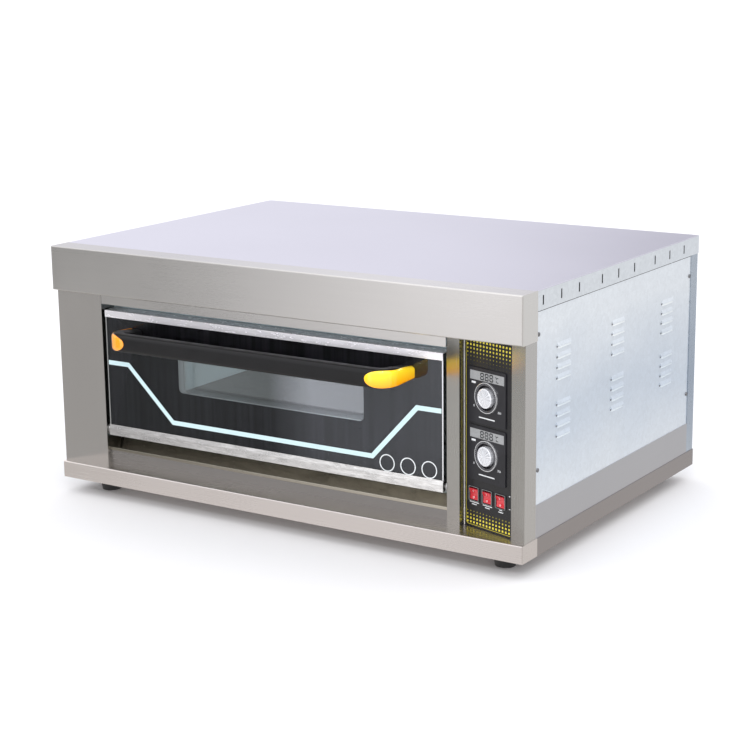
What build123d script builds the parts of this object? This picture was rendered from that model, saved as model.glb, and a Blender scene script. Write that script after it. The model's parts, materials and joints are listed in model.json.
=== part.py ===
"""Single-deck electric deck oven, drawn as the pieces that it comes apart into.

Millimetres. X runs to the right as seen from the front, Y from the front to the back and
Z up. The origin is on the floor, under the middle of the oven's whole depth and width.
"""

import os
from math import cos, hypot, radians, sin, tan

from build123d import *

os.makedirs("parts", exist_ok=True)

# ---------------------------------------------------------------- driving sizes
# Overall
width = 1220.0              # over the canopy and the base
depth = 845.0               # canopy face to back panel
foot_height = 36.0

# Sheet metal
sheet = 1.5                 # outer casing
liner = 2.0                 # baking chamber and front frame
bend = 2.5                  # outside radius of a fold
wrap = 62.0                 # how far the front pieces turn round the sides
flange = 25.0               # plain inward flange

# Heights, from the underside of the base up
base_height = 38.0
fascia_height = 22.0
sill_lip = 7.0
sill_rise = 20.0
door_floor_gap = 13.0       # sill to the bottom of the door
door_height = 296.0
door_head_gap = 14.0        # top of the door to the header strip
header_height = 36.0
canopy_height = 101.0
skirt_height = 70.0
top_flange = 41.5           # slotted edge of the top cover

# Plan of the front
left_post_width = 86.0
control_width = 213.0
jamb_width = 39.0
right_post_width = 43.0
post_setback = 15.0
post_lap = 15.0             # canopy wraps this much further round the sides than a post
post_slope = 50.5           # how far a post's inner edge lies behind its outer edge
base_setback = 5.0
panel_setback = 36.5        # right edge of the control panel
panel_depth = 37.5          # how far its left edge lies behind the right one
panel_gap = 2.0
jamb_setback = 69.0
jamb_rise = 15.0            # the jamb's right edge stands this far forward
door_setback = 69.0
header_stand = 3.0          # header strip in front of the door's face
fascia_setback = 75.0

# Door
door_side_gap = 8.0
door_thickness = 37.0
seal_gap = 4.0              # back of the door to the front frame
closed_gap = 0.3            # air left between pieces that only touch when the door is shut
outer_glass = 4.0
inner_glass = 4.0
top_trim_height = 16.0
bottom_trim_height = 25.0
side_trim = 3.0
window_width = 500.0
window_height = 120.0
window_offset = 4.0         # window centre, right of the door centre
window_sill = 124.0         # window bottom above the bottom of the door
window_radius = 12.0
pivot_setback = 13.0        # hinge axis behind the door's face
pivot_rise = 10.0           # hinge axis above the door's bottom edge
pin_radius = 5.0
running_fit = 0.05          # radial clearance of a pin that turns

# Handle
handle_span = 763.0
handle_standoff = 93.0
handle_height = 40.0
handle_foot_height = 27.0
handle_thickness = 31.0
handle_drop = 50.0          # handle centre below the top of the door
handle_corner = 42.0
cap_stand = 1.0             # end caps stand this proud of the handle

# Chamber
door_lap_side = 22.5        # door past the chamber opening
door_lap_bottom = 24.0
door_lap_top = 30.0
rear_space = 93.0           # chamber back wall to the back panel
hearth_height = 30.0        # baking plate above the chamber floor
hearth_plate = 3.0
insulation = 50.0
element_radius = 4.0
element_gap = 18.0          # heating tube axis from the chamber floor or ceiling
element_pitch = 60.0
element_count = 3

# Controls
controller_width = 107.0
controller_height = 115.0
controller_pitch = 121.0
controller_level = 320.0    # upper controller centre above the base underside
dial_level = -1.0           # dial centre from the controller centre
display_level = 41.0
display_width = 98.0
display_height = 19.0
dial_radius = 31.5
dial_wall = 5.0
dial_height = 4.0
knob_radius = 22.5
knob_height = 11.0
spindle_radius = 3.0
rocker_level = 110.0
rocker_pitch = 38.5
rocker_width = 24.0
rocker_reach = 13.5         # rocker's swept radius
rocker_tilt = 8.0
rocker_wall = 3.0

# Back and feet
gland_reach = 24.0
gland_inset = 130.0
gland_level = 90.0
gland_bore = 6.0
foot_radius = 30.0
foot_tip_radius = 22.0
foot_inset_x = 80.0
foot_inset_y = 80.0
bolt_radius = 4.0
screw_radius = 4.5
screw_rises = (180.0, 458.0)    # above the base underside
past = 1.0                  # how far a cutter runs past the metal

# ---------------------------------------------------------------- derived places
door_setin = door_setback + door_thickness
handle_overhang = handle_standoff + cap_stand - door_setback
overall_depth = handle_overhang + depth + gland_reach
front = handle_overhang - overall_depth / 2
back = front + depth
left, right = -width / 2, width / 2

base = foot_height
base_top = base + base_height
fascia_top = base_top + fascia_height
lip_top = fascia_top + sill_lip
sill_top = lip_top + sill_rise
door_bottom = sill_top + door_floor_gap
door_top = door_bottom + door_height
header_bottom = door_top + door_head_gap
canopy_bottom = header_bottom + header_height
top = canopy_bottom + canopy_height

opening_left = left + left_post_width
opening_right = right - control_width
door_left = opening_left + door_side_gap
door_right = opening_right - door_side_gap
door_width = door_right - door_left
door_mid = (door_left + door_right) / 2
door_face = front + door_setback
door_back = front + door_setin
frame_face = door_back + seal_gap
frame_back = frame_face + liner
pivot_y = door_face + pivot_setback
pivot_z = door_bottom + pivot_rise

skin = right - sheet            # inside face of the canopy, top cover and base
panel_skin = skin - sheet       # outside face of the side panels
inner_x = panel_skin - sheet    # inside face of the side panels

chamber_left = door_left + door_lap_side
chamber_right = door_right - door_lap_side
chamber_floor_z = door_bottom + door_lap_bottom
chamber_top_z = door_top - door_lap_top
chamber_back_y = back - rear_space
hearth_z = chamber_floor_z + hearth_height
post_end = front + post_setback + wrap - post_lap


def block(x, y, z, mode=Mode.ADD):
    """A block between three (low, high) pairs, in the piece that is being built."""
    centre = ((x[0] + x[1]) / 2, (y[0] + y[1]) / 2, (z[0] + z[1]) / 2)
    with Locations(centre):
        Box(x[1] - x[0], y[1] - y[0], z[1] - z[0], mode=mode)


def facing(y):
    """Plane across the oven at a depth; a positive extrude comes forward, a negative goes back."""
    return Plane.XZ.offset(-y)


def strip(points, thickness):
    """Outline of a folded strip: the points are one face, the thickness lies on their left."""
    inner = []
    last = len(points) - 1
    for i, (x, y) in enumerate(points):
        sides = []
        if i > 0:
            sides.append((x - points[i - 1][0], y - points[i - 1][1]))
        if i < last:
            sides.append((points[i + 1][0] - x, points[i + 1][1] - y))
        normals = [(-dy / hypot(dx, dy), dx / hypot(dx, dy)) for dx, dy in sides]
        nx = sum(n[0] for n in normals)
        ny = sum(n[1] for n in normals)
        reach = thickness * len(normals) / (nx * nx + ny * ny)
        inner.append((x + nx * reach, y + ny * reach))
    return points + inner[::-1]


def save(piece, name):
    """Label a finished piece and write it."""
    piece.part.label = name
    export_step(piece.part, f"parts/{name}.step")


# ---------------------------------------------------------------- base
with BuildPart() as base_front:
    block((left, right), (front + base_setback, front + base_setback + wrap), (base, base_top))
    face_edges = base_front.edges().group_by(Axis.Y)[0]
    fillet(face_edges.filter_by(Axis.Z) + face_edges.filter_by(Axis.X).sort_by(Axis.Z)[-1:], bend)
    offset(amount=-sheet, openings=[base_front.faces().sort_by(Axis.Z)[0],
                                    base_front.faces().sort_by(Axis.Y)[-1]])
    block((-skin, skin), (front + base_setback + wrap - sheet, frame_back),
          (base_top - sheet, base_top))
save(base_front, "base_front")

rail_front = front + base_setback + wrap
foot_spots = [(x, y) for x in (left + foot_inset_x, right - foot_inset_x)
              for y in (front + foot_inset_y, back - foot_inset_y)]
with BuildPart() as base_frame:
    for side in (-1, 1):
        with BuildSketch(facing(frame_back)):
            Polygon(*strip([(side * right, base), (side * right, base_top),
                            (side * (right - flange), base_top)], side * sheet), align=None)
        extrude(amount=frame_back - back + sheet)
        block(sorted((side * skin, side * right)), (rail_front, frame_back), (base, base_top))
        block(sorted((side * skin, side * right)), (back - sheet, back), (base, base_top))
    with BuildSketch(Plane.YZ.offset(-skin + closed_gap)):
        Polygon(*strip([(back - flange, base_top), (back, base_top), (back, base)], -sheet),
                align=None)
    extrude(amount=2 * (skin - closed_gap))
    for side in (-1, 1):
        block(sorted((side * (skin - closed_gap), side * (right - flange - closed_gap))),
              (back - flange, back - sheet), (base_top - sheet, base_top), mode=Mode.SUBTRACT)
        with BuildSketch(Plane.XY.offset(base_top - sheet)):
            with Locations((side * (skin - flange / 2), back - flange / 2 - sheet / 2)):
                Rectangle(flange, flange - sheet)
        extrude(amount=sheet)
    block((-skin, skin), (front + base_setback + sheet + past, back - sheet), (base, base + sheet))
    for side in (-1, 1):
        block(sorted((side * (skin - past), side * skin)), (front, rail_front), (base, base + sheet),
              mode=Mode.SUBTRACT)
    with Locations(*[(x, y, base + sheet) for x, y in foot_spots]):
        Hole(bolt_radius + running_fit, depth=2 * sheet)
save(base_frame, "base_frame")

foot_recess = 12.0
foot_round = 3.0
bolt_recess_radius = bolt_radius * 2.5
bolt_head_radius = bolt_radius * 1.9
with BuildPart() as rubber_feet:
    for x, y in foot_spots:
        with BuildSketch(Plane.XY.offset(base)):
            with Locations((x, y)):
                Circle(foot_radius)
        with BuildSketch(Plane.XY.offset(0)):
            with Locations((x, y)):
                Circle(foot_tip_radius)
        loft()
    fillet(rubber_feet.edges().group_by(Axis.Z)[0], foot_round)
    with Locations(*[(x, y, base) for x, y in foot_spots]):
        Hole(bolt_radius + running_fit)
    with Locations(*[(x, y, foot_recess / 2) for x, y in foot_spots]):
        Cylinder(bolt_recess_radius, foot_recess, mode=Mode.SUBTRACT)
save(rubber_feet, "rubber_feet")

bolt_head = 5.0
nut_height = 6.5
thread_end = 3.0            # bolt past its nut
with BuildPart() as foot_bolts:
    for x, y in foot_spots:
        with BuildSketch(Plane.XY.offset(foot_recess - bolt_head)):
            with Locations((x, y)):
                RegularPolygon(bolt_head_radius, 6)
        extrude(amount=bolt_head)
        with BuildSketch(Plane.XY.offset(foot_recess)):
            with Locations((x, y)):
                Circle(bolt_radius)
        extrude(amount=base + sheet + nut_height + thread_end - foot_recess)
        with BuildSketch(Plane.XY.offset(base + sheet)):
            with Locations((x, y)):
                RegularPolygon(bolt_head_radius, 6)
        extrude(amount=nut_height)
save(foot_bolts, "foot_bolts")

# ---------------------------------------------------------------- front posts, sill, header
left_outline = [(-skin, post_end), (-skin, front + post_setback),
                (opening_left, front + post_setback + post_slope),
                (opening_left, frame_face)]
with BuildPart() as left_front_post:
    with BuildSketch(Plane.XY.offset(base_top)):
        Polygon(*strip(left_outline, sheet), align=None)
    extrude(amount=canopy_bottom - base_top)
save(left_front_post, "left_front_post")

right_post_x = right - right_post_width
right_outline = [(right_post_x, front + panel_setback + flange),
                 (right_post_x, front + panel_setback - sheet),
                 (skin, front + post_setback), (skin, post_end)]
jamb_x = opening_right + jamb_width
jamb_outline = [(opening_right, frame_face),
                (opening_right, front + jamb_setback),
                (jamb_x, front + jamb_setback - jamb_rise),
                (jamb_x, front + panel_setback + panel_depth + flange / 2)]
with BuildPart() as right_front_posts:
    with BuildSketch(Plane.XY.offset(base_top)):
        Polygon(*strip(right_outline, sheet), align=None)
        Polygon(*strip(jamb_outline, sheet), align=None)
    extrude(amount=canopy_bottom - base_top)
save(right_front_posts, "right_front_posts")

trim_left = opening_left + closed_gap
trim_right = opening_right - closed_gap
with BuildPart() as fascia:
    with BuildSketch(Plane.YZ.offset(trim_left)):
        Polygon(*strip([(front + fascia_setback, fascia_top),
                        (front + fascia_setback, base_top),
                        (front + fascia_setback + flange, base_top)], sheet), align=None)
    extrude(amount=trim_right - trim_left)
save(fascia, "fascia")

sill_slope = 29.0               # run of the sloping top, front to back
sill_front = front + fascia_setback - sheet
sill_round = 1.2
with BuildPart() as sill:
    with BuildSketch(Plane.YZ.offset(trim_left)):
        Polygon(*strip([(frame_face, sill_top), (sill_front + sill_slope, sill_top),
                        (sill_front, lip_top), (sill_front, fascia_top),
                        (sill_front + flange / 2, fascia_top)], sheet), align=None)
    extrude(amount=trim_right - trim_left)
    fillet(sill.edges().filter_by(Axis.X).group_by(Axis.Y)[0], sill_round)
save(sill, "sill")

header_y = door_face - header_stand
with BuildPart() as header_strip:
    with BuildSketch(Plane.YZ.offset(trim_left)):
        Polygon(*strip([(frame_face, canopy_bottom), (header_y, canopy_bottom),
                        (header_y, header_bottom), (header_y + flange / 2, header_bottom)],
                       sheet), align=None)
    extrude(amount=trim_right - trim_left)
save(header_strip, "header_strip")

# ---------------------------------------------------------------- canopy and casing
canopy_cover = 56.0             # depth of the canopy's top flange
panel_front = front + post_setback + wrap / 2
with BuildPart() as canopy:
    block((left, right), (front, front + wrap), (canopy_bottom, top))
    face_edges = canopy.edges().group_by(Axis.Y)[0]
    fillet(face_edges, bend)
    offset(amount=-sheet, openings=canopy.faces().sort_by(Axis.Y)[-1])
    block((-skin, skin), (front + canopy_cover, front + wrap), (top - sheet, top),
          mode=Mode.SUBTRACT)
    for side in (-1, 1):
        block(sorted((side * (inner_x - past), side * skin)), (panel_front - past, front + wrap),
              (canopy_bottom, canopy_bottom + sheet), mode=Mode.SUBTRACT)
save(canopy, "canopy")

slot_height = 19.5
slot_width = 5.0
slot_pitch = 78.0
slot_group_inset = 161.5        # middle of an outer group from the front or the back
slot_count = 3
slot_drop = 1.0                 # slots below the middle of the flange
edge_round = 1.35
slot_middle = front + depth / 2
flange_front = front + wrap
with BuildPart() as top_cover:
    block((-skin, skin), (front + canopy_cover, back), (top - sheet, top))
    block((left, right), (flange_front, back), (top - top_flange, top))
    block((-skin, skin), (flange_front, back - sheet), (top - top_flange, top - sheet),
          mode=Mode.SUBTRACT)
    fillet(top_cover.edges().filter_by(Axis.Y).group_by(Axis.Z)[-1], edge_round)
    with BuildSketch(Plane.YZ.offset(left)):
        for group in (-1, 0, 1):
            middle = slot_middle + group * (depth / 2 - slot_group_inset)
            with Locations((middle, top - top_flange / 2 - slot_drop)):
                with GridLocations(slot_pitch, 1, slot_count, 1):
                    Rectangle(slot_width, slot_height)
    extrude(amount=width, mode=Mode.SUBTRACT)
save(top_cover, "top_cover")

corner_width = 37.0
corner_front = back - corner_width
skirt_top = base_top + skirt_height
louvre_length = 58.0
louvre_pitch = 22.0
louvre_rows = 4
louvre_column_inset = 171.5     # middle of an outer column from the ends of the panel's run
louvre_shift = 8.0              # columns behind the oven's middle
louvre_hood = 3.0
louvre_crest = 5.0              # hood's top above its middle
louvre_lip = 3.0                # hood's lower edge below its middle
louvre_mouth = 3.0
louvre_edge = 1.0               # metal left round the mouth
louvre_level = 327.0            # middle of all the rows, above the base underside
louvre_bank_pitch = 121.0       # upper rows to lower rows, middle to middle
louvre_levels = [base + louvre_level + bank * louvre_bank_pitch / 2
                 + (row - (louvre_rows - 1) / 2) * louvre_pitch
                 for bank in (-1, 1) for row in range(louvre_rows)]
side_top = top - sheet - closed_gap
for side, name in ((-1, "left_side_panel"), (1, "right_side_panel")):
    with BuildPart() as side_panel:
        block(sorted((side * inner_x, side * panel_skin)),
              (panel_front, back - 3 * sheet), (base_top, side_top))
        outer, hood = side * panel_skin, side * louvre_hood
        for column in (-1, 0, 1):
            louvre_front = (slot_middle + louvre_shift - louvre_length / 2
                            + column * (depth / 2 - louvre_column_inset))
            with BuildSketch(facing(louvre_front)):
                for z in louvre_levels:
                    Polygon((outer - hood / 2, z + louvre_crest), (outer, z + louvre_crest),
                            (outer + hood, z - louvre_lip + louvre_edge),
                            (outer + hood, z - louvre_lip), (outer - hood / 2, z - louvre_lip),
                            align=None)
            extrude(amount=-louvre_length)
            with BuildSketch(facing(louvre_front + louvre_edge)):
                for z in louvre_levels:
                    with Locations((outer + side * (louvre_hood - louvre_edge) / 2 - hood / 2,
                                    z - louvre_lip - louvre_edge + louvre_mouth / 2)):
                        Rectangle(2 * louvre_hood - louvre_edge, louvre_mouth)
            extrude(amount=2 * louvre_edge - louvre_length, mode=Mode.SUBTRACT)
    save(side_panel, name)

with BuildPart() as side_skirts:
    for side in (-1, 1):
        block(sorted((side * panel_skin, side * skin)),
              (post_end, corner_front), (base_top, skirt_top))
save(side_skirts, "side_skirts")

corner_top = top - top_flange
with BuildPart() as rear_corners:
    for side in (-1, 1):
        with BuildSketch(Plane.XY.offset(base_top)):
            Polygon(*strip([(side * skin, corner_front), (side * skin, back - sheet),
                            (side * (skin - corner_width), back - sheet)], side * sheet),
                    align=None)
        extrude(amount=corner_top - base_top)
save(rear_corners, "rear_corners")

vent_count = 9
vent_pitch = 30.0
vent_length = 60.0
vent_width = 6.0
vent_level = 420.0
vent_spread = width / 4
gland_x = right - gland_inset
gland_z = base + gland_level
gland_thread = 10.0
rear_skin = back - 3 * sheet
with BuildPart() as back_panel:
    block((-inner_x, inner_x), (rear_skin, rear_skin + sheet),
          (base_top, corner_top + top_flange / 2))
    with BuildSketch(facing(rear_skin)):
        for x in (-vent_spread, vent_spread):
            with Locations((x, base + vent_level)):
                with GridLocations(vent_pitch, 1, vent_count, 1):
                    SlotOverall(vent_length, vent_width, rotation=90)
        with Locations((gland_x, gland_z)):
            Circle(gland_thread)
    extrude(amount=-sheet, mode=Mode.SUBTRACT)
save(back_panel, "back_panel")

gland_nut_radius = 16.0
gland_nut_height = 7.0
gland_dome_radius = 13.5
gland_dome_taper = 12.0
gland_inner_nut_radius = 15.0
gland_inner_nut_height = 6.0
gland_thread_fit = 0.2
gland_tail = back - 16.0        # front end of the gland's thread
gland_dome_y = rear_skin + sheet + gland_nut_height
with BuildPart() as cable_gland:
    with BuildSketch(facing(rear_skin + sheet)):
        with Locations((gland_x, gland_z)):
            RegularPolygon(gland_nut_radius, 6)
    extrude(amount=-gland_nut_height)
    with BuildSketch(facing(gland_dome_y)):
        with Locations((gland_x, gland_z)):
            Circle(gland_dome_radius)
    extrude(amount=gland_dome_y - back - gland_reach, taper=gland_dome_taper)
    with BuildSketch(facing(gland_tail)):
        with Locations((gland_x, gland_z)):
            Circle(gland_thread - gland_thread_fit)
    extrude(amount=gland_tail - rear_skin - sheet)
    with BuildSketch(facing(rear_skin)):
        with Locations((gland_x, gland_z)):
            RegularPolygon(gland_inner_nut_radius, 6)
    extrude(amount=gland_inner_nut_height)
    with BuildSketch(facing(gland_tail - past)):
        with Locations((gland_x, gland_z)):
            Circle(gland_bore)
    extrude(amount=gland_tail - back - gland_reach - 2 * past, mode=Mode.SUBTRACT)
save(cable_gland, "cable_gland")

screw_head = 2.4
screw_round = 1.4
screw_front_margin = 70.0
screw_back_margin = 44.0
screw_side_margin = 60.0
seat_gap = 0.001                # keeps a screw head clear of the face that it is on
screw_levels = [base + rise for rise in screw_rises]
with BuildPart() as casing_screws:
    for side in (-1, 1):
        with BuildSketch(Plane.YZ.offset(side * (panel_skin + seat_gap))):
            for y in (front + screw_front_margin, back - screw_back_margin):
                for z in screw_levels:
                    with Locations((y, z)):
                        Circle(screw_radius)
        extrude(amount=side * screw_head)
    with BuildSketch(facing(rear_skin + sheet)):
        for x in (screw_side_margin - inner_x, 0, inner_x - screw_side_margin):
            for z in screw_levels:
                with Locations((x, z)):
                    Circle(screw_radius)
    extrude(amount=-screw_head)
    head_edges = (casing_screws.edges().group_by(Axis.X)[0]
                  + casing_screws.edges().group_by(Axis.X)[-1]
                  + casing_screws.edges().group_by(Axis.Y)[-1])
    fillet(head_edges, screw_round)
save(casing_screws, "casing_screws")

# ---------------------------------------------------------------- baking chamber
frame_corner = 4.0
with BuildPart() as front_frame:
    block((trim_left, trim_right), (frame_face, frame_back), (base_top, canopy_bottom - sheet))
    block((chamber_left, chamber_right), (frame_face - past, frame_back + past),
          (chamber_floor_z, chamber_top_z), mode=Mode.SUBTRACT)
    fillet(front_frame.edges().filter_by(Axis.Y).group_by(SortBy.DISTANCE)[0], frame_corner)
save(front_frame, "front_frame")

walls_y = (frame_back, chamber_back_y)
outer_z = (chamber_floor_z - liner, chamber_top_z + liner)
probe_radius = 2.5
probe_hole = 3.0
probe_pitch = 20.0
probe_reach = 60.0
probe_nut_radius = 6.0
probe_nut_height = 9.0
probe_tail = 12.0
probe_gap = 8.0             # probe axis below the upper heating tubes
probe_z = chamber_top_z - element_gap - element_radius - probe_gap
element_end_share = 0.5     # of a tube's spacing, added at each end of the chamber together
element_hole = element_radius + 1
element_middle = (frame_back + chamber_back_y) / 2
element_ys = [element_middle + (i - (2 * element_count - 1) / 2)
              * (chamber_back_y - frame_back) / (2 * element_count + element_end_share)
              for i in range(2 * element_count)]
probe_spots = [(element_middle, probe_z), (element_middle + probe_pitch, probe_z)]
element_levels = {"lower": chamber_floor_z + element_gap, "upper": chamber_top_z - element_gap}
with BuildPart() as chamber_floor:
    block((chamber_left, chamber_right), walls_y, (chamber_floor_z - liner, chamber_floor_z))
save(chamber_floor, "chamber_floor")
with BuildPart() as chamber_ceiling:
    block((chamber_left, chamber_right), walls_y, (chamber_top_z, chamber_top_z + liner))
save(chamber_ceiling, "chamber_ceiling")
with BuildPart() as chamber_back_wall:
    block((chamber_left, chamber_right), (chamber_back_y, chamber_back_y + liner), outer_z)
save(chamber_back_wall, "chamber_back_wall")

ledge = 15.0
gap = 1.0                   # air round the insulation
lamp_y = chamber_back_y - 90.0
lamp_z = chamber_top_z - 60.0
lamp_radius = 25.0
bulb_radius = 9.0
bulb_length = 9.0
lamp_recess = 12.0
lamp_draft = 18.0
lamp_wall = 3.0
lamp_round = 4.0
lamp_cap = 4.0              # lamp holder's edge past the glass
lamp_fit = 0.5
lamp_x = chamber_right + liner + lamp_recess
lamp_depth = insulation - 8.0
with BuildPart() as chamber_left_wall:
    block((chamber_left - liner, chamber_left), walls_y, outer_z)
    block((chamber_left, chamber_left + ledge), walls_y,
          (hearth_z - hearth_plate - liner, hearth_z - hearth_plate))
save(chamber_left_wall, "chamber_left_wall")
with BuildPart() as chamber_right_wall:
    block((chamber_right, chamber_right + liner), walls_y, outer_z)
    block((chamber_right - ledge, chamber_right), walls_y,
          (hearth_z - hearth_plate - liner, hearth_z - hearth_plate))
    with BuildSketch(Plane.YZ.offset(chamber_right)):
        for z in element_levels.values():
            for y in element_ys:
                with Locations((y, z)):
                    Circle(element_hole)
        with Locations((lamp_y, lamp_z)):
            Circle(lamp_radius + lamp_fit)
        with Locations(*probe_spots):
            Circle(probe_hole)
    extrude(amount=liner, mode=Mode.SUBTRACT)
save(chamber_right_wall, "chamber_right_wall")

hearth_gap = 2.0
hearth_corner = 6.0
with BuildPart() as baking_plate:
    block((chamber_left + hearth_gap, chamber_right - hearth_gap),
          (frame_back + hearth_gap, chamber_back_y - hearth_gap),
          (hearth_z - hearth_plate, hearth_z))
    fillet(baking_plate.edges().filter_by(Axis.Z), hearth_corner)
save(baking_plate, "baking_plate")

element_end_gap = 30.0          # loop's end to the chamber's left wall
element_tail = chamber_right + insulation + 20.0
turn = (element_ys[1] - element_ys[0]) / 2
with BuildPart() as heating_elements:
    for z in element_levels.values():
        for i in range(element_count):
            y = element_ys[2 * i]
            bend_x = chamber_left + element_end_gap + turn
            with BuildLine(Plane.XY.offset(z)) as path:
                run = Line((element_tail, y), (bend_x, y))
                arc = JernArc(start=run @ 1, tangent=run % 1, radius=turn, arc_size=-180)
                Line(arc @ 1, (element_tail, arc.position_at(1).Y))
            with BuildSketch(Plane(origin=(element_tail, y, z), z_dir=(-1, 0, 0))):
                Circle(element_radius)
            sweep(path=path.wires()[0])
save(heating_elements, "heating_elements")

with BuildPart() as temperature_probes:
    with BuildSketch(Plane.YZ.offset(chamber_right - probe_reach)):
        with Locations(*probe_spots):
            Circle(probe_radius)
    extrude(amount=probe_reach + insulation + probe_tail)
    with BuildSketch(Plane.YZ.offset(chamber_right + insulation + liner + gap)):
        with Locations(*probe_spots):
            RegularPolygon(probe_nut_radius, 6)
    extrude(amount=probe_nut_height)
save(temperature_probes, "temperature_probes")

with BuildPart() as lamp_glass:
    with BuildSketch(Plane.YZ.offset(lamp_x)):
        with Locations((lamp_y, lamp_z)):
            Circle(lamp_radius)
    extrude(amount=-(liner + lamp_recess), taper=lamp_draft)
    fillet(lamp_glass.edges().group_by(Axis.X)[0], lamp_round)
    with BuildSketch(Plane.YZ.offset(lamp_x)):
        with Locations((lamp_y, lamp_z)):
            Circle(lamp_radius - lamp_wall)
    extrude(amount=-(liner + lamp_recess - lamp_wall), taper=lamp_draft, mode=Mode.SUBTRACT)
save(lamp_glass, "lamp_glass")

with BuildPart() as lamp:
    with BuildSketch(Plane.YZ.offset(lamp_x + closed_gap)):
        with Locations((lamp_y, lamp_z)):
            Circle(lamp_radius + lamp_cap)
    extrude(amount=lamp_depth)
    with BuildSketch(Plane.YZ.offset(lamp_x + closed_gap)):
        with Locations((lamp_y, lamp_z)):
            Circle(bulb_radius)
    extrude(amount=-bulb_length)
    fillet(lamp.edges().group_by(Axis.X)[0], bulb_radius * 0.6)
save(lamp, "lamp")

insulation_x = (chamber_left - liner - gap - insulation, chamber_right + liner + gap + insulation)
insulation_y = (frame_back + gap, chamber_back_y + liner + gap + insulation)
with BuildPart() as chamber_insulation:
    block(insulation_x, insulation_y, (outer_z[1] + gap, outer_z[1] + gap + insulation))
    block(insulation_x, insulation_y,
          (max(outer_z[0] - gap - insulation, base_top + gap), outer_z[0] - gap))
    block((insulation_x[0], chamber_left - liner - gap), (insulation_y[0], chamber_back_y),
          outer_z)
    block((chamber_right + liner + gap, insulation_x[1]), (insulation_y[0], chamber_back_y),
          outer_z)
    block(insulation_x, (chamber_back_y + liner + gap, insulation_y[1]), outer_z)
    with BuildSketch(Plane.YZ.offset(chamber_right)):
        for z in element_levels.values():
            for y in element_ys:
                with Locations((y, z)):
                    Circle(element_hole)
        with Locations((lamp_y, lamp_z)):
            Circle(lamp_radius + lamp_cap + gap)
        with Locations(*probe_spots):
            Circle(probe_hole)
    extrude(amount=insulation * 2, mode=Mode.SUBTRACT)
save(chamber_insulation, "chamber_insulation")

# ---------------------------------------------------------------- electrical compartment
tray_gap = 30.0
tray_rises = (110.0, 420.0)     # above the base underside
tray_front_margin = 330.0
tray_back_margin = 130.0
tray_x = insulation_x[1] + tray_gap
tray_z = [base + rise for rise in tray_rises]
tray_y = (front + tray_front_margin, back - tray_back_margin)
with BuildPart() as component_tray:
    block((tray_x, tray_x + sheet), tray_y, tray_z)
    for z in (tray_z[0], tray_z[1] - sheet):
        block((insulation_x[1], tray_x), tray_y, (z, z + sheet))
save(component_tray, "component_tray")

contactor_body = (48.0, 48.0, 86.0)
contactor_nose = (32.0, 38.0, 46.0)
contactor_pitch = 90.0
contactor_z = base + 220.0
tray_margin = 60.0              # front of the tray to the first piece on it
tray_face = tray_x + sheet
nose_x = (tray_face + contactor_body[0], tray_face + contactor_body[0] + contactor_nose[0])
nose_inset = (contactor_body[1] - contactor_nose[1]) / 2
nose_z = contactor_z + (contactor_body[2] - contactor_nose[2]) / 2
with BuildPart() as contactors:
    for y in (tray_y[0] + tray_margin, tray_y[0] + tray_margin + contactor_pitch):
        block((tray_face, nose_x[0]), (y, y + contactor_body[1]),
              (contactor_z, contactor_z + contactor_body[2]))
        block(nose_x, (y + nose_inset, y + nose_inset + contactor_nose[1]),
              (nose_z, nose_z + contactor_nose[2]))
save(contactors, "contactors")

terminal_count = 6
terminal_pitch = 14.0
terminal_size = (30.0, 13.0, 40.0)
terminal_clamp = (6.0, 7.0, 20.0)
terminal_z = base + 150.0
clamp_x = (tray_face + terminal_size[0], tray_face + terminal_size[0] + terminal_clamp[0])
clamp_inset = (terminal_size[1] - terminal_clamp[1]) / 2
clamp_z = terminal_z + (terminal_size[2] - terminal_clamp[2]) / 2
with BuildPart() as terminal_block:
    for i in range(terminal_count):
        y = tray_y[0] + tray_margin + i * terminal_pitch
        block((tray_face, clamp_x[0]), (y, y + terminal_size[1]),
              (terminal_z, terminal_z + terminal_size[2]))
        block(clamp_x, (y + clamp_inset, y + clamp_inset + terminal_clamp[1]),
              (clamp_z, clamp_z + terminal_clamp[2]))
save(terminal_block, "terminal_block")

# ---------------------------------------------------------------- control panel
panel_left = (jamb_x + panel_gap, front + panel_setback + panel_depth)
panel_right = (right_post_x - panel_gap / 2, front + panel_setback)
panel_run = (panel_right[0] - panel_left[0], panel_right[1] - panel_left[1])
panel_width = hypot(*panel_run)
panel_along = (panel_run[0] / panel_width, panel_run[1] / panel_width, 0)
panel_out = (panel_along[1], -panel_along[0], 0)
panel_thickness = 1.5
overlay_thickness = 0.8


def on_panel(u, v, out=0.0, tilt=0.0):
    """Plane on the control panel: u from its left edge, v above the base, out from its face.

    A positive tilt leans the plane's upper side out of the panel.
    """
    origin = [panel_left[i] + panel_along[i] * u + panel_out[i] * out for i in range(2)]
    normal = (panel_out[0] * cos(radians(tilt)), panel_out[1] * cos(radians(tilt)),
              -sin(radians(tilt)))
    return Plane(origin=(*origin, base + v), x_dir=panel_along, z_dir=normal)


controller_shift = -1.0         # controllers from the panel's middle
controller_u = panel_width / 2 + controller_shift
controller_vs = {"upper": controller_level, "lower": controller_level - controller_pitch}
rocker_us = [controller_u + i * rocker_pitch for i in (-1, 0, 1)]
housing_inset = 7.5             # controller's plate past its housing
housing_width = controller_width - 2 * housing_inset
housing_height = controller_height - 2 * housing_inset
bezel_wall = 3.5
bezel_width = rocker_width + 2 * bezel_wall
bezel_rim = 1.6
rocker_gap = 0.4                # rocker's sweep to the bezel
bezel_opening = 2 * (rocker_reach + rocker_gap)
bezel_height = bezel_opening + 2 * bezel_rim
bezel_box = (bezel_width - 4.0, bezel_height - 3.0)     # the part behind the panel
cutout_fit = 0.6
panel_edge_gap = 0.5
panel_bottom = base_height + panel_edge_gap
panel_height = canopy_bottom - base - panel_bottom - sheet - panel_edge_gap


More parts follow.
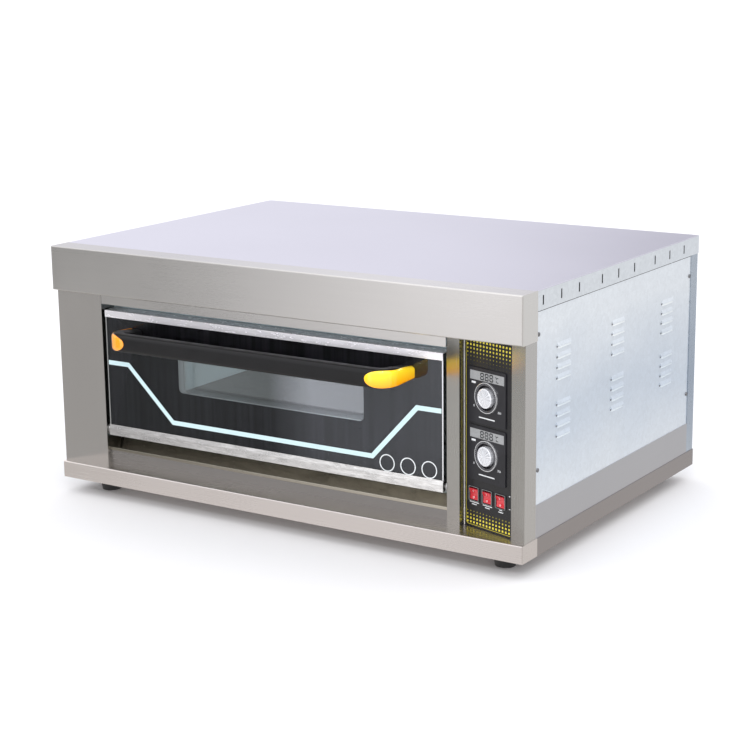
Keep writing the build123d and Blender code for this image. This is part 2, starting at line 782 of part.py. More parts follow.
def panel_cutouts():
    """Holes for the controllers and the rockers, in a sketch at the panel's lower left corner."""
    for v in controller_vs.values():
        with Locations((controller_u, v)):
            Rectangle(housing_width + cutout_fit, housing_height + cutout_fit,
                      mode=Mode.SUBTRACT)
    for u in rocker_us:
        with Locations((u, rocker_level)):
            Rectangle(bezel_box[0] + cutout_fit, bezel_box[1] + cutout_fit, mode=Mode.SUBTRACT)


with BuildPart() as control_panel:
    with BuildSketch(on_panel(0, 0, -overlay_thickness - panel_thickness)):
        with Locations((0, panel_bottom)):
            Rectangle(panel_width, panel_height, align=(Align.MIN, Align.MIN))
        panel_cutouts()
    extrude(amount=panel_thickness)
save(control_panel, "control_panel")

with BuildPart() as panel_overlay:
    with BuildSketch(on_panel(0, 0, -overlay_thickness)):
        with Locations((0, panel_bottom)):
            Rectangle(panel_width, panel_height, align=(Align.MIN, Align.MIN))
        panel_cutouts()
    extrude(amount=overlay_thickness)
save(panel_overlay, "panel_overlay")

plate_rise = 2.5
housing_depth = 62.0
display_depth = 1.2
dial_recess = 4.0
plate_corner = 3.0
spindle_depth = 20.0            # hole for the knob's spindle, behind the plate's face
screen_fit = 0.2                # display to its window, and behind the plate's face
with BuildPart() as controllers:
    for v in controller_vs.values():
        with BuildSketch(on_panel(controller_u, v)):
            RectangleRounded(controller_width, controller_height, plate_corner)
        extrude(amount=plate_rise)
        with BuildSketch(on_panel(controller_u, v)):
            Rectangle(housing_width, housing_height)
        extrude(amount=-housing_depth)
        with BuildSketch(on_panel(controller_u, v + display_level, plate_rise)):
            Rectangle(display_width, display_height)
        extrude(amount=-display_depth, mode=Mode.SUBTRACT)
        with BuildSketch(on_panel(controller_u, v + dial_level, plate_rise)):
            Circle(dial_radius - dial_wall)
        extrude(amount=-dial_recess, mode=Mode.SUBTRACT)
        with BuildSketch(on_panel(controller_u, v + dial_level, plate_rise)):
            Circle(spindle_radius + running_fit)
        extrude(amount=-spindle_depth, mode=Mode.SUBTRACT)
save(controllers, "controllers")

with BuildPart() as displays:
    for v in controller_vs.values():
        with BuildSketch(on_panel(controller_u, v + display_level, plate_rise - display_depth)):
            Rectangle(display_width - 2 * screen_fit, display_height - 2 * screen_fit)
        extrude(amount=display_depth - screen_fit)
save(displays, "displays")

dial_round = 1.2
with BuildPart() as dial_rings:
    for v in controller_vs.values():
        with BuildSketch(on_panel(controller_u, v + dial_level, plate_rise)):
            Circle(dial_radius)
            Circle(dial_radius - dial_wall, mode=Mode.SUBTRACT)
        extrude(amount=dial_height)
    rim = dial_rings.edges().filter_by(GeomType.CIRCLE).sort_by(
        lambda edge: edge.center().dot(Vector(*panel_out)))
    fillet(rim[-4:], dial_round)
save(dial_rings, "dial_rings")

knob_clearance = 0.5            # knob to the bottom of the dial's recess
knob_draft = 3.0
knob_round = 2.0
spindle_length = 18.0
for name, v in controller_vs.items():
    with BuildPart() as knob:
        with BuildSketch(on_panel(controller_u, v + dial_level,
                                  plate_rise - dial_recess + knob_clearance)):
            Circle(knob_radius)
        extrude(amount=knob_height, taper=knob_draft)
        fillet(knob.edges().filter_by(GeomType.CIRCLE).sort_by(
            lambda edge: edge.center().dot(Vector(*panel_out)))[-1:], knob_round)
        with BuildSketch(on_panel(controller_u, v + dial_level, plate_rise - spindle_length)):
            Circle(spindle_radius)
        extrude(amount=spindle_length)
    save(knob, f"{name}_knob")

bezel_rise = 2.0
bezel_corner = 2.0
bezel_depth = 20.0
bezel_floor = 2.0
bezel_step = 0.05               # opening narrows by this at the panel's face
rocker_side_gap = 0.3
rocker_pivot_out = -3.0
with BuildPart() as rocker_bezels:
    for u in rocker_us:
        with BuildSketch(on_panel(u, rocker_level)):
            RectangleRounded(bezel_width, bezel_height, bezel_corner)
            Rectangle(rocker_width + 2 * rocker_side_gap, bezel_opening, mode=Mode.SUBTRACT)
        extrude(amount=bezel_rise)
        with BuildSketch(on_panel(u, rocker_level)):
            Rectangle(*bezel_box)
            Rectangle(rocker_width + 2 * rocker_side_gap, bezel_opening - 2 * bezel_step,
                      mode=Mode.SUBTRACT)
        extrude(amount=-bezel_depth)
        with BuildSketch(on_panel(u, rocker_level, -bezel_depth)):
            Rectangle(*bezel_box)
        extrude(amount=-bezel_floor)
save(rocker_bezels, "rocker_bezels")

rocker_dip = 3.5                # bottom of the V from the pivot
rocker_slope = 15.3             # each side of the V, in degrees
rocker_crest = rocker_dip + rocker_width * tan(radians(rocker_slope))
rocker_names = ("power_rocker", "top_heat_rocker", "bottom_heat_rocker")
for u, name in zip(rocker_us, rocker_names):
    middle = on_panel(u, rocker_level, rocker_pivot_out, rocker_tilt)
    across = Plane(origin=middle.origin - middle.x_dir * (rocker_width / 2),
                   x_dir=middle.y_dir, z_dir=middle.x_dir)
    with BuildPart() as rocker:
        with BuildSketch(across):
            Circle(rocker_reach)
            Polygon((-rocker_width, rocker_crest), (0, rocker_dip), (rocker_width, rocker_crest),
                    (rocker_width, 2 * rocker_width), (-rocker_width, 2 * rocker_width),
                    align=None, mode=Mode.SUBTRACT)
        extrude(amount=rocker_width)
    save(rocker, name)

# ---------------------------------------------------------------- door
def door_rect(inset_side, inset_bottom, inset_top):
    """Sketch rectangle on a plane facing the front, inset from the door's outline."""
    with Locations((door_mid, (door_bottom + inset_bottom + door_top - inset_top) / 2)):
        Rectangle(door_width - 2 * inset_side, door_height - inset_bottom - inset_top)


print_thickness = 0.4
glass_back = door_face + outer_glass
print_back = glass_back + print_thickness
pan_face = door_back - 2 * sheet
inner_glass_y = pan_face - inner_glass
window_centre = (door_mid + window_offset, door_bottom + window_sill + window_height / 2)
handle_z = door_top - handle_drop
handle_screw_inset = 19.0
screw_hole = 3.4
screw_pocket = 12.0             # room round a handle screw in the wadding
air_gap = 1.0                   # behind the glass's print
trim_round = 1.2
handle_screw_x = handle_span / 2 - handle_screw_inset
handle_screws_at = [(door_mid + side * handle_screw_x, handle_z) for side in (-1, 1)]
handle_screw_radius = 3.0
bush_radius = 7.0
bush_length = 22.0
surround_margin = 8.0
surround = (window_width + 2 * surround_margin, window_height + 2 * surround_margin)
inner_glass_margin = 22.0

with BuildPart() as door_glass:
    with BuildSketch(facing(glass_back)):
        door_rect(side_trim + closed_gap, top_trim_height / 2, top_trim_height / 2)
        with Locations(*handle_screws_at):
            Circle(screw_hole, mode=Mode.SUBTRACT)
    extrude(amount=outer_glass)
save(door_glass, "door_glass")

with BuildPart() as glass_print:
    with BuildSketch(facing(print_back)):
        door_rect(side_trim + closed_gap, top_trim_height / 2, top_trim_height / 2)
        with Locations(*handle_screws_at):
            Circle(screw_hole, mode=Mode.SUBTRACT)
        with Locations(window_centre):
            RectangleRounded(window_width, window_height, window_radius, mode=Mode.SUBTRACT)
    extrude(amount=print_thickness)
save(glass_print, "glass_print")

with BuildPart() as door_top_trim:
    with BuildSketch(Plane.YZ.offset(door_left)):
        Polygon(*strip([(door_back, door_top - top_trim_height / 2), (door_back, door_top),
                        (door_face - sheet, door_top),
                        (door_face - sheet, door_top - top_trim_height)], sheet), align=None)
    extrude(amount=door_width)
    fillet(door_top_trim.edges().filter_by(Axis.X).group_by(Axis.Y)[0].sort_by(Axis.Z)[-1:],
           trim_round)
save(door_top_trim, "door_top_trim")

trim_bulge = 3.5
trim_shoulder = 9.0
with BuildPart() as door_bottom_trim:
    with BuildSketch(Plane.YZ.offset(door_left)):
        Polygon(*strip([(door_face - sheet, door_bottom + bottom_trim_height),
                        (door_face - trim_bulge, door_bottom + bottom_trim_height - trim_shoulder),
                        (door_face - trim_bulge, door_bottom), (door_back, door_bottom),
                        (door_back, door_bottom + top_trim_height / 2)], sheet), align=None)
    extrude(amount=door_width)
save(door_bottom_trim, "door_bottom_trim")

side_rise = (door_bottom + sheet, door_top - sheet)
with BuildPart() as door_side_channels:
    for x in (door_left, door_right - side_trim):
        block((x, x + side_trim), (door_face, pan_face), side_rise)
    with BuildSketch(Plane.YZ.offset(door_left)):
        with Locations((pivot_y, pivot_z)):
            Circle(bush_radius)
    extrude(amount=door_width, mode=Mode.SUBTRACT)
save(door_side_channels, "door_side_channels")

pan_inset = side_trim + closed_gap
pan_rise = sheet + closed_gap
with BuildPart() as door_pan:
    with BuildSketch(facing(door_back - sheet)):
        door_rect(pan_inset, pan_rise, pan_rise)
    extrude(amount=door_back - sheet - print_back - air_gap)
    with BuildSketch(facing(door_back - 2 * sheet)):
        door_rect(pan_inset + sheet, pan_rise + sheet, pan_rise + sheet)
    extrude(amount=door_thickness, mode=Mode.SUBTRACT)
    with BuildSketch(facing(door_back)):
        with Locations(window_centre):
            RectangleRounded(*surround, window_radius)
    extrude(amount=door_thickness, mode=Mode.SUBTRACT)
    with BuildSketch(Plane.YZ.offset(door_left)):
        with Locations((pivot_y, pivot_z)):
            Circle(bush_radius)
    extrude(amount=door_width, mode=Mode.SUBTRACT)
save(door_pan, "door_pan")

inner_glass_width = window_width + 2 * inner_glass_margin
inner_glass_height = window_height + 2 * inner_glass_margin
clip_reach = 10.0
clip_hold = 6.0
clip_width = 24.0
clip_spacing = window_width * 0.4
with BuildPart() as window_surround:
    with BuildSketch(facing(inner_glass_y)):
        with Locations(window_centre):
            RectangleRounded(*surround, window_radius)
            RectangleRounded(surround[0] - 2 * sheet, surround[1] - 2 * sheet,
                             window_radius - sheet, mode=Mode.SUBTRACT)
    extrude(amount=inner_glass_y - print_back - closed_gap)
    for x in (-1, 0, 1):
        clip_middle = window_centre[0] + x * clip_spacing
        clip_x = (clip_middle - clip_width / 2, clip_middle + clip_width / 2)
        for side in (-1, 1):
            edge = window_centre[1] + side * inner_glass_height / 2
            block(clip_x, (inner_glass_y - sheet, inner_glass_y),
                  sorted((edge + side * clip_reach, edge - side * clip_hold)))
            block(clip_x, (inner_glass_y - sheet, pan_face),
                  sorted((edge + side * clip_reach, edge + side * (clip_reach + sheet))))
save(window_surround, "window_surround")

with BuildPart() as door_inner_glass:
    with BuildSketch(facing(pan_face)):
        with Locations(window_centre):
            RectangleRounded(inner_glass_width, inner_glass_height, window_radius)
    extrude(amount=inner_glass)
save(door_inner_glass, "door_inner_glass")

pin_pocket = (bush_length + 6.0, 2 * bush_radius + 8.0)
wadding_gap = 1.0
with BuildPart() as door_insulation:
    with BuildSketch(facing(inner_glass_y - sheet - wadding_gap)):
        door_rect(pan_inset + sheet + wadding_gap, pan_rise + sheet + wadding_gap,
                  pan_rise + sheet + wadding_gap)
        with Locations(window_centre):
            Rectangle(surround[0] + 2 * wadding_gap, surround[1] + 2 * wadding_gap,
                      mode=Mode.SUBTRACT)
        for x in (door_left + pin_pocket[0] / 2, door_right - pin_pocket[0] / 2):
            with Locations((x, pivot_z)):
                Rectangle(*pin_pocket, mode=Mode.SUBTRACT)
        with Locations(*handle_screws_at):
            Circle(screw_pocket, mode=Mode.SUBTRACT)
    extrude(amount=inner_glass_y - sheet - wadding_gap - print_back - air_gap)
save(door_insulation, "door_insulation")

seal_width = 11.0
seal_land = 1.0                 # seal's inner edge to the edge of the chamber's opening
seal_land_top = 4.0
seal_round = 1.5
seal_inset_bottom = door_lap_bottom - seal_width - seal_land
seal_inset_top = door_lap_top - seal_width - seal_land_top
seal_inset_side = door_lap_side - seal_width - seal_land
with BuildPart() as door_seal:
    with BuildSketch(facing(frame_face - closed_gap)):
        door_rect(seal_inset_side, seal_inset_bottom, seal_inset_top)
        with Locations((door_mid,
                        (door_bottom + seal_inset_bottom + door_top - seal_inset_top) / 2)):
            Rectangle(door_width - 2 * seal_inset_side - 2 * seal_width,
                      door_height - seal_inset_bottom - seal_inset_top - 2 * seal_width,
                      mode=Mode.SUBTRACT)
    extrude(amount=seal_gap - closed_gap + sheet)
    fillet(door_seal.edges().group_by(Axis.Y)[-1], seal_round)
save(door_seal, "door_seal")

# Hinge: fixed brackets and pins, bushes in the door
pin_chamfer = 0.8
pin_in = door_side_gap + bush_length + 2.0
with BuildPart() as hinge_pins:
    for x, turn in ((opening_left + closed_gap, 1), (opening_right - closed_gap, -1)):
        with BuildSketch(Plane.YZ.offset(x)):
            with Locations((pivot_y, pivot_z)):
                Circle(pin_radius)
        extrude(amount=turn * pin_in)
    chamfer(hinge_pins.edges().filter_by(GeomType.CIRCLE).group_by(Axis.X)[1:3], pin_chamfer)
save(hinge_pins, "hinge_pins")

with BuildPart() as hinge_bushes:
    for x, turn in ((door_left, 1), (door_right, -1)):
        with BuildSketch(Plane.YZ.offset(x)):
            with Locations((pivot_y, pivot_z)):
                Circle(bush_radius)
                Circle(pin_radius + running_fit, mode=Mode.SUBTRACT)
        extrude(amount=turn * bush_length)
save(hinge_bushes, "hinge_bushes")

bracket_thickness = 4.0
bracket_arm = 12.0
with BuildPart() as hinge_brackets:
    for x, turn in ((opening_left + closed_gap, 1), (opening_right - closed_gap, -1)):
        with BuildSketch(Plane.YZ.offset(x)):
            with BuildLine():
                bottom = Line((frame_face, pivot_z - bracket_arm), (pivot_y, pivot_z - bracket_arm))
                nose = ThreePointArc(bottom @ 1, (pivot_y - bracket_arm, pivot_z),
                                     (pivot_y, pivot_z + bracket_arm))
                Polyline(nose @ 1, (frame_face, pivot_z + bracket_arm), bottom @ 0)
            make_face()
            with Locations((pivot_y, pivot_z)):
                Circle(pin_radius, mode=Mode.SUBTRACT)
        extrude(amount=turn * bracket_thickness)
save(hinge_brackets, "hinge_brackets")

# ---------------------------------------------------------------- handle
handle_front = door_face - handle_standoff
handle_half = handle_span / 2
handle_splay = 5.0
arm_thickness = 38.0
cap_sink = 2.5
cap_tip = 320.5
cap_nose = 38.0
cap_margin = 1.6
handle_screw_length = 25.0
handle_screw_gap = 1.0          # screw's end to the bottom of its hole
handle_nut = (handle_screw_radius * 2.2, 4.0)
handle_inner_corner = handle_corner / 3


def handle_plan(grow, radius, mode=Mode.ADD):
    """Plan of the handle's outside, grown all round, open towards the glass."""
    half, reach = handle_half + grow, handle_standoff + grow
    tip_half = half - handle_splay
    with BuildLine() as rim:
        edge = FilletPolyline((door_mid + half, door_face), (door_mid + tip_half, door_face - reach),
                              (door_mid - tip_half, door_face - reach),
                              (door_mid - half, door_face), radius=radius)
        Line(edge @ 1, edge @ 0)
    make_face(rim.edges(), mode=mode)


def handle_side(shrink):
    """Side view of the handle: full height at the bar, less where it meets the glass."""
    bar, foot = handle_height / 2 - shrink, handle_foot_height / 2 - shrink
    Polygon((door_face, handle_z - foot), (door_face, handle_z + foot),
            (handle_front + handle_corner, handle_z + bar),
            (handle_front - 2 * cap_stand, handle_z + bar),
            (handle_front - 2 * cap_stand, handle_z - bar), (handle_front + handle_corner, handle_z - bar),
            align=None)


cap_shapes = []
for side in (-1, 1):
    with BuildPart() as cap:
        with BuildSketch(Plane.XY.offset(handle_z - handle_height / 2)):
            handle_plan(cap_stand, handle_corner + cap_stand)
            handle_plan(-cap_sink, handle_corner - cap_sink, mode=Mode.SUBTRACT)
        extrude(amount=handle_height)
        with BuildSketch(Plane.YZ.offset(door_mid)):
            handle_side(cap_margin)
        extrude(amount=side * handle_span, mode=Mode.INTERSECT)
        with BuildSketch(facing(door_face)):
            with Locations((door_mid + side * (cap_tip + cap_nose), handle_z)):
                Ellipse(cap_nose, handle_height / 2 - cap_margin)
            with Locations((door_mid + side * (cap_tip + cap_nose + handle_half / 2), handle_z)):
                Rectangle(handle_half, handle_height)
        extrude(amount=2 * handle_standoff, mode=Mode.INTERSECT)
    cap_shapes.append(cap.part)
with BuildPart() as handle_caps:
    add(cap_shapes)
save(handle_caps, "handle_caps")

with BuildPart() as door_handle:
    with BuildSketch(Plane.XY.offset(handle_z - handle_height / 2)):
        handle_plan(0, handle_corner)
        with BuildLine() as hollow:
            inside = handle_half - arm_thickness
            edge = FilletPolyline((door_mid + inside, door_face + past),
                                  (door_mid + inside, handle_front + handle_thickness),
                                  (door_mid - inside, handle_front + handle_thickness),
                                  (door_mid - inside, door_face + past),
                                  radius=handle_inner_corner)
            Line(edge @ 1, edge @ 0)
        make_face(hollow.edges(), mode=Mode.SUBTRACT)
    extrude(amount=handle_height)
    with BuildSketch(Plane.YZ.offset(door_mid - handle_half)):
        handle_side(0)
    extrude(amount=handle_span, mode=Mode.INTERSECT)
    add(cap_shapes, mode=Mode.SUBTRACT)
    with BuildSketch(facing(door_face)):
        with Locations(*handle_screws_at):
            Circle(handle_screw_radius)
    extrude(amount=handle_screw_length, mode=Mode.SUBTRACT)
save(door_handle, "door_handle")

with BuildPart() as handle_screws:
    with BuildSketch(facing(print_back)):
        with Locations(*handle_screws_at):
            Circle(handle_screw_radius)
    extrude(amount=print_back - door_face + handle_screw_length - handle_screw_gap)
    with BuildSketch(facing(print_back)):
        with Locations(*handle_screws_at):
            RegularPolygon(handle_nut[0], 6)
    extrude(amount=-handle_nut[1])
save(handle_screws, "handle_screws")
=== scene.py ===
"""Looks of a single-deck electric oven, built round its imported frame.

Every piece is modelled in metres in the frame's own coordinates: X to the right seen from
the front, Y from the front to the back and Z up.
"""

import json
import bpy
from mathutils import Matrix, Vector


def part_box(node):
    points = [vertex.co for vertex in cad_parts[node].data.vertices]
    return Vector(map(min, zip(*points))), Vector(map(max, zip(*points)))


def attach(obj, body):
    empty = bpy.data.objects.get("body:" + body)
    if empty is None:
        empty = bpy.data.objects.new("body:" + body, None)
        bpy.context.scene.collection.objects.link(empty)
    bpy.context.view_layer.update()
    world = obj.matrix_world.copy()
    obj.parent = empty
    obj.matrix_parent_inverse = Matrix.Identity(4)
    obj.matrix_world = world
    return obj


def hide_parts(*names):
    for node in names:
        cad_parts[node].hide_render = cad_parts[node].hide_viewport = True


bl_info = {
    "name": "Deck Oven",
    "version": (1, 0, 0),
    "blender": (4, 5, 0),
    "location": "View3D > Sidebar > Oven",
    "description": "Models the finishes and the detailed pieces of a deck oven",
    "category": "Object",
}

from math import atan2, cos, pi, radians, sin

import bmesh
import bpy
from bpy.props import FloatProperty, FloatVectorProperty, IntProperty, PointerProperty
from mathutils import Euler, Matrix, Vector

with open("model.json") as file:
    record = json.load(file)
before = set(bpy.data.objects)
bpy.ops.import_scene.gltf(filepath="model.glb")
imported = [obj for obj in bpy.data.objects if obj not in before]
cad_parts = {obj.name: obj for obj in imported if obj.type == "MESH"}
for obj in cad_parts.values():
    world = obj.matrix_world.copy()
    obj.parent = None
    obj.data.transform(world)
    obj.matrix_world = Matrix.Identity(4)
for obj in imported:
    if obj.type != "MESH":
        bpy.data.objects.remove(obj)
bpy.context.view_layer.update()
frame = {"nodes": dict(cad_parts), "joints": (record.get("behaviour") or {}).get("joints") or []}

MM = 0.001
UP = Vector((0, 0, 1))
JOINTS = {joint["name"]: joint for joint in frame["joints"]}
PANEL_OUT = -Vector(JOINTS["upper_knob_turn"]["axis"]).normalized()
PANEL_ALONG = -Vector(JOINTS["power_switch_tilt"]["axis"]).normalized()
PLATE_RISE = 2.5 * MM           # controller plate above the panel's film
ROCKER_PIVOT_DEPTH = 3.0 * MM   # rocker's axis behind the panel's film
ROCKER_TILT = radians(8)
DIAL_CENTRES = {
    name: Vector(JOINTS[name + "_knob_turn"]["pos_m"]) for name in ("upper", "lower")
}
PRINT_THICKNESS = 0.12 * MM
PRINT_LIFT = 0.03 * MM
DISPLAY_RECESS = 0.2 * MM       # display film below the controller plate
HANDLE_CORNER = 42 * MM         # bend between the bar and its arms
SCREW_HEAD = 2.4 * MM           # height of a casing screw's head


# ---------------------------------------------------------------- settings
class OvenFinishes(bpy.types.PropertyGroup):
    """Colours and roughness of the oven's finishes."""

    steel: FloatVectorProperty(name="Stainless", description="Brushed stainless steel",
                               subtype="COLOR", default=(0.50, 0.49, 0.475), min=0, max=1)
    steel_roughness: FloatProperty(name="Stainless roughness", default=0.30, min=0, max=1,
                                   description="How matt the brushed steel is", subtype="FACTOR")
    zinc: FloatVectorProperty(name="Galvanised", description="Zinc coated casing",
                              subtype="COLOR", default=(0.78, 0.82, 0.86), min=0, max=1)
    print_black: FloatVectorProperty(name="Glass print", description="Enamel behind the door glass",
                                     subtype="COLOR", default=(0.012, 0.012, 0.015), min=0, max=1)
    stripe: FloatVectorProperty(name="Stripe", description="Stripe printed on the door glass",
                                subtype="COLOR", default=(0.66, 0.86, 0.90), min=0, max=1)
    amber: FloatVectorProperty(name="Handle caps", description="Translucent ends of the handle",
                               subtype="COLOR", default=(1.0, 0.36, 0.0), min=0, max=1)
    red: FloatVectorProperty(name="Switches", description="Lit rocker switches",
                             subtype="COLOR", default=(0.72, 0.015, 0.03), min=0, max=1)
    yellow: FloatVectorProperty(name="Panel print", description="Dots and border of the panel",
                                subtype="COLOR", default=(0.80, 0.68, 0.06), min=0, max=1)


class OvenSizes(bpy.types.PropertyGroup):
    """Sizes of the pieces that the frame doesn't fix."""

    stripe_width: FloatProperty(name="Stripe width", description="Stripe on the door glass",
                                default=10.5 * MM, min=0.001, unit="LENGTH")
    mark_line: FloatProperty(name="Mark line", description="Line of the rings on the door",
                             default=2.4 * MM, min=0.0005, unit="LENGTH")
    dot_pitch: FloatProperty(name="Dot pitch", description="Dots along the panel",
                             default=9.3 * MM, min=0.002, unit="LENGTH")
    dot_row: FloatProperty(name="Dot row", description="Rows of dots up the panel",
                           default=8.0 * MM, min=0.002, unit="LENGTH")
    border_width: FloatProperty(name="Border", description="Line round the panel's print",
                                default=1.5 * MM, min=0.0005, unit="LENGTH")
    knob_flutes: IntProperty(name="Knob flutes", description="Flutes round each knob",
                             default=24, min=6)
    handle_round: FloatProperty(name="Handle rounding", description="Corner radius of the bar",
                                default=9.0 * MM, min=0.001, unit="LENGTH")


class OvenStage(bpy.types.PropertyGroup):
    """Camera and light."""

    camera_place: FloatVectorProperty(name="Camera", description="Where the camera stands",
                                      subtype="XYZ", unit="LENGTH",
                                      default=(2.2692, -3.4881, 1.2568))
    camera_yaw: FloatProperty(name="Yaw", description="Camera turned to the left of straight on",
                              default=radians(33.136), unit="ROTATION")
    camera_pitch: FloatProperty(name="Pitch", description="Camera tipped down",
                                default=radians(13.382), unit="ROTATION")
    camera_roll: FloatProperty(name="Roll", description="Camera rolled about its own axis",
                               default=radians(-0.688), unit="ROTATION")
    lens: FloatProperty(name="Lens", description="Focal length", default=88.27, unit="CAMERA")
    key_strength: FloatProperty(name="Overhead light", default=1.5, min=0,
                                description="Strength of the soft overhead light")
    chamber_power: FloatProperty(name="Chamber light", description="Power of the oven's own lamp",
                                 default=6.0, min=0, unit="POWER")
    strip_power: FloatProperty(name="Strip light", description="Power of the strip light in front",
                               default=26, min=0, unit="POWER")


# ---------------------------------------------------------------- modelling helpers
def begin():
    """Leave edit mode and select nothing."""
    if bpy.context.mode != "OBJECT":
        bpy.ops.object.mode_set(mode="OBJECT")
    bpy.ops.object.select_all(action="DESELECT")


def choose(obj, kind, test):
    """Select in edit mode the faces, edges or vertices of obj for which test(item) is true."""
    if bpy.context.mode != "EDIT_MESH":
        bpy.ops.object.mode_set(mode="EDIT")
    bpy.ops.mesh.select_mode(type=kind)
    bpy.ops.mesh.select_all(action="DESELECT")
    mesh = bmesh.from_edit_mesh(obj.data)
    items = {"FACE": mesh.faces, "EDGE": mesh.edges, "VERT": mesh.verts}[kind]
    mesh.normal_update()
    for item in items:
        if test(item):
            item.select_set(True)
    mesh.select_flush_mode()
    bmesh.update_edit_mesh(obj.data)


def middle(item):
    """Centre of a face or an edge."""
    corners = [vertex.co for vertex in item.verts]
    return sum(corners, Vector()) / len(corners)


def sector(face, count):
    """Which of that many equal slices round Z a face's middle lies in."""
    centre = middle(face)
    return int((atan2(centre.y, centre.x) % (2 * pi)) / (2 * pi) * count)


def apply_place(obj):
    """Put the object's place into its mesh."""
    begin()
    obj.select_set(True)
    bpy.context.view_layer.objects.active = obj
    bpy.ops.object.transform_apply(location=True, rotation=True, scale=True)


def moved(obj, matrix):
    """Carry a piece modelled about the origin to its place."""
    obj.matrix_world = matrix @ obj.matrix_world
    apply_place(obj)
    return obj


def box(lo, hi):
    """A block between two corners, active and at the origin."""
    begin()
    lo, hi = Vector(lo), Vector(hi)
    bpy.ops.mesh.primitive_cube_add(size=1, location=(lo + hi) / 2, scale=hi - lo)
    obj = bpy.context.active_object
    apply_place(obj)
    return obj


def drum(radius, depth, sides, centre=(0, 0, 0), turn=(0, 0, 0)):
    """A closed cylinder, active and at the origin."""
    begin()
    bpy.ops.mesh.primitive_cylinder_add(vertices=sides, radius=radius, depth=depth,
                                        location=centre, rotation=turn)
    obj = bpy.context.active_object
    apply_place(obj)
    return obj


def combine(obj, tool, operation):
    """Boolean obj with tool, and remove tool."""
    begin()
    obj.select_set(True)
    bpy.context.view_layer.objects.active = obj
    bpy.ops.object.modifier_add(type="BOOLEAN")
    modifier = obj.modifiers[-1]
    modifier.operation = operation
    modifier.solver = "EXACT"
    modifier.object = tool
    bpy.ops.object.modifier_apply(modifier=modifier.name)
    bpy.data.objects.remove(tool)


def soften(obj, width, segments=2, angle=40):
    """Round every edge sharper than the angle."""
    begin()
    obj.select_set(True)
    bpy.context.view_layer.objects.active = obj
    bpy.ops.object.modifier_add(type="BEVEL")
    modifier = obj.modifiers[-1]
    modifier.width = width
    modifier.segments = segments
    modifier.limit_method = "ANGLE"
    modifier.angle_limit = radians(angle)
    modifier.harden_normals = False
    bpy.ops.object.modifier_apply(modifier=modifier.name)


def copy_of(obj, matrix=None):
    """Another object with its own mesh, carried by matrix."""
    begin()
    obj.select_set(True)
    bpy.context.view_layer.objects.active = obj
    bpy.ops.object.duplicate(linked=False)
    twin = bpy.context.active_object
    if matrix is not None:
        moved(twin, matrix)
    return twin


def joined(objects):
    """Join meshes into the first one."""
    begin()
    for obj in objects:
        obj.select_set(True)
    bpy.context.view_layer.objects.active = objects[0]
    if len(objects) > 1:
        bpy.ops.object.join()
    return bpy.context.active_object


def repeated(obj, matrices):
    """The piece at each place, joined into one."""
    twins = [copy_of(obj, matrix) for matrix in matrices]
    bpy.data.objects.remove(obj)
    return joined(twins)


def face_outward(obj):
    """Turn every face of a closed shape outward."""
    begin()
    bpy.context.view_layer.objects.active = obj
    bpy.ops.object.mode_set(mode="EDIT")
    bpy.ops.mesh.select_all(action="SELECT")
    bpy.ops.mesh.normals_make_consistent(inside=False)
    begin()
    return obj


def raised(obj, thickness):
    """Pull a flat shape up from Z = 0 into a solid."""
    bpy.ops.mesh.select_all(action="SELECT")
    bpy.ops.mesh.extrude_region_move(TRANSFORM_OT_translate={"value": (0, 0, thickness)})
    return face_outward(obj)


def settle(obj, name, finish, body, replaces=(), smooth=35):
    """Name a finished piece, give it its finish and let it ride on a body."""
    apply_place(obj)
    obj.name = name
    obj.data.name = name
    obj.data.materials.clear()
    obj.data.materials.append(finish)
    if smooth:
        bpy.ops.object.shade_smooth_by_angle(angle=radians(smooth))
    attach(obj, body)
    if replaces:
        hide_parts(*replaces)
    return obj


def on_panel(centre, u=0.0, v=0.0, out=0.0):
    """Matrix of a place on the control panel: X along it, Y up and Z out of it."""
    turn = Matrix((PANEL_ALONG, UP, PANEL_OUT)).transposed()
    place = centre + PANEL_ALONG * u + UP * v + PANEL_OUT * out
    return Matrix.Translation(place) @ turn.to_4x4()


def plate(width, height, thickness, radius=0.0, centre=(0, 0)):
    """Flat plate with rounded corners, standing on Z = 0."""
    begin()
    bpy.ops.mesh.primitive_plane_add(size=1, location=(*centre, 0))
    obj = bpy.context.active_object
    obj.scale = (width, height, 1)
    apply_place(obj)
    bpy.ops.object.mode_set(mode="EDIT")
    bpy.ops.mesh.select_all(action="SELECT")
    if radius:
        bpy.ops.mesh.bevel(affect="VERTICES", offset=radius, segments=4)
    return raised(obj, thickness)


def outline(sides, radius, line, thickness):
    """Flat ring with that many sides, standing on Z = 0."""
    begin()
    bpy.ops.mesh.primitive_circle_add(vertices=sides, radius=radius, fill_type="NGON")
    obj = bpy.context.active_object
    apply_place(obj)
    bpy.ops.object.mode_set(mode="EDIT")
    bpy.ops.mesh.select_all(action="SELECT")
    bpy.ops.mesh.inset(thickness=line, depth=0)
    bpy.ops.mesh.delete(type="ONLY_FACE")
    return raised(obj, thickness)


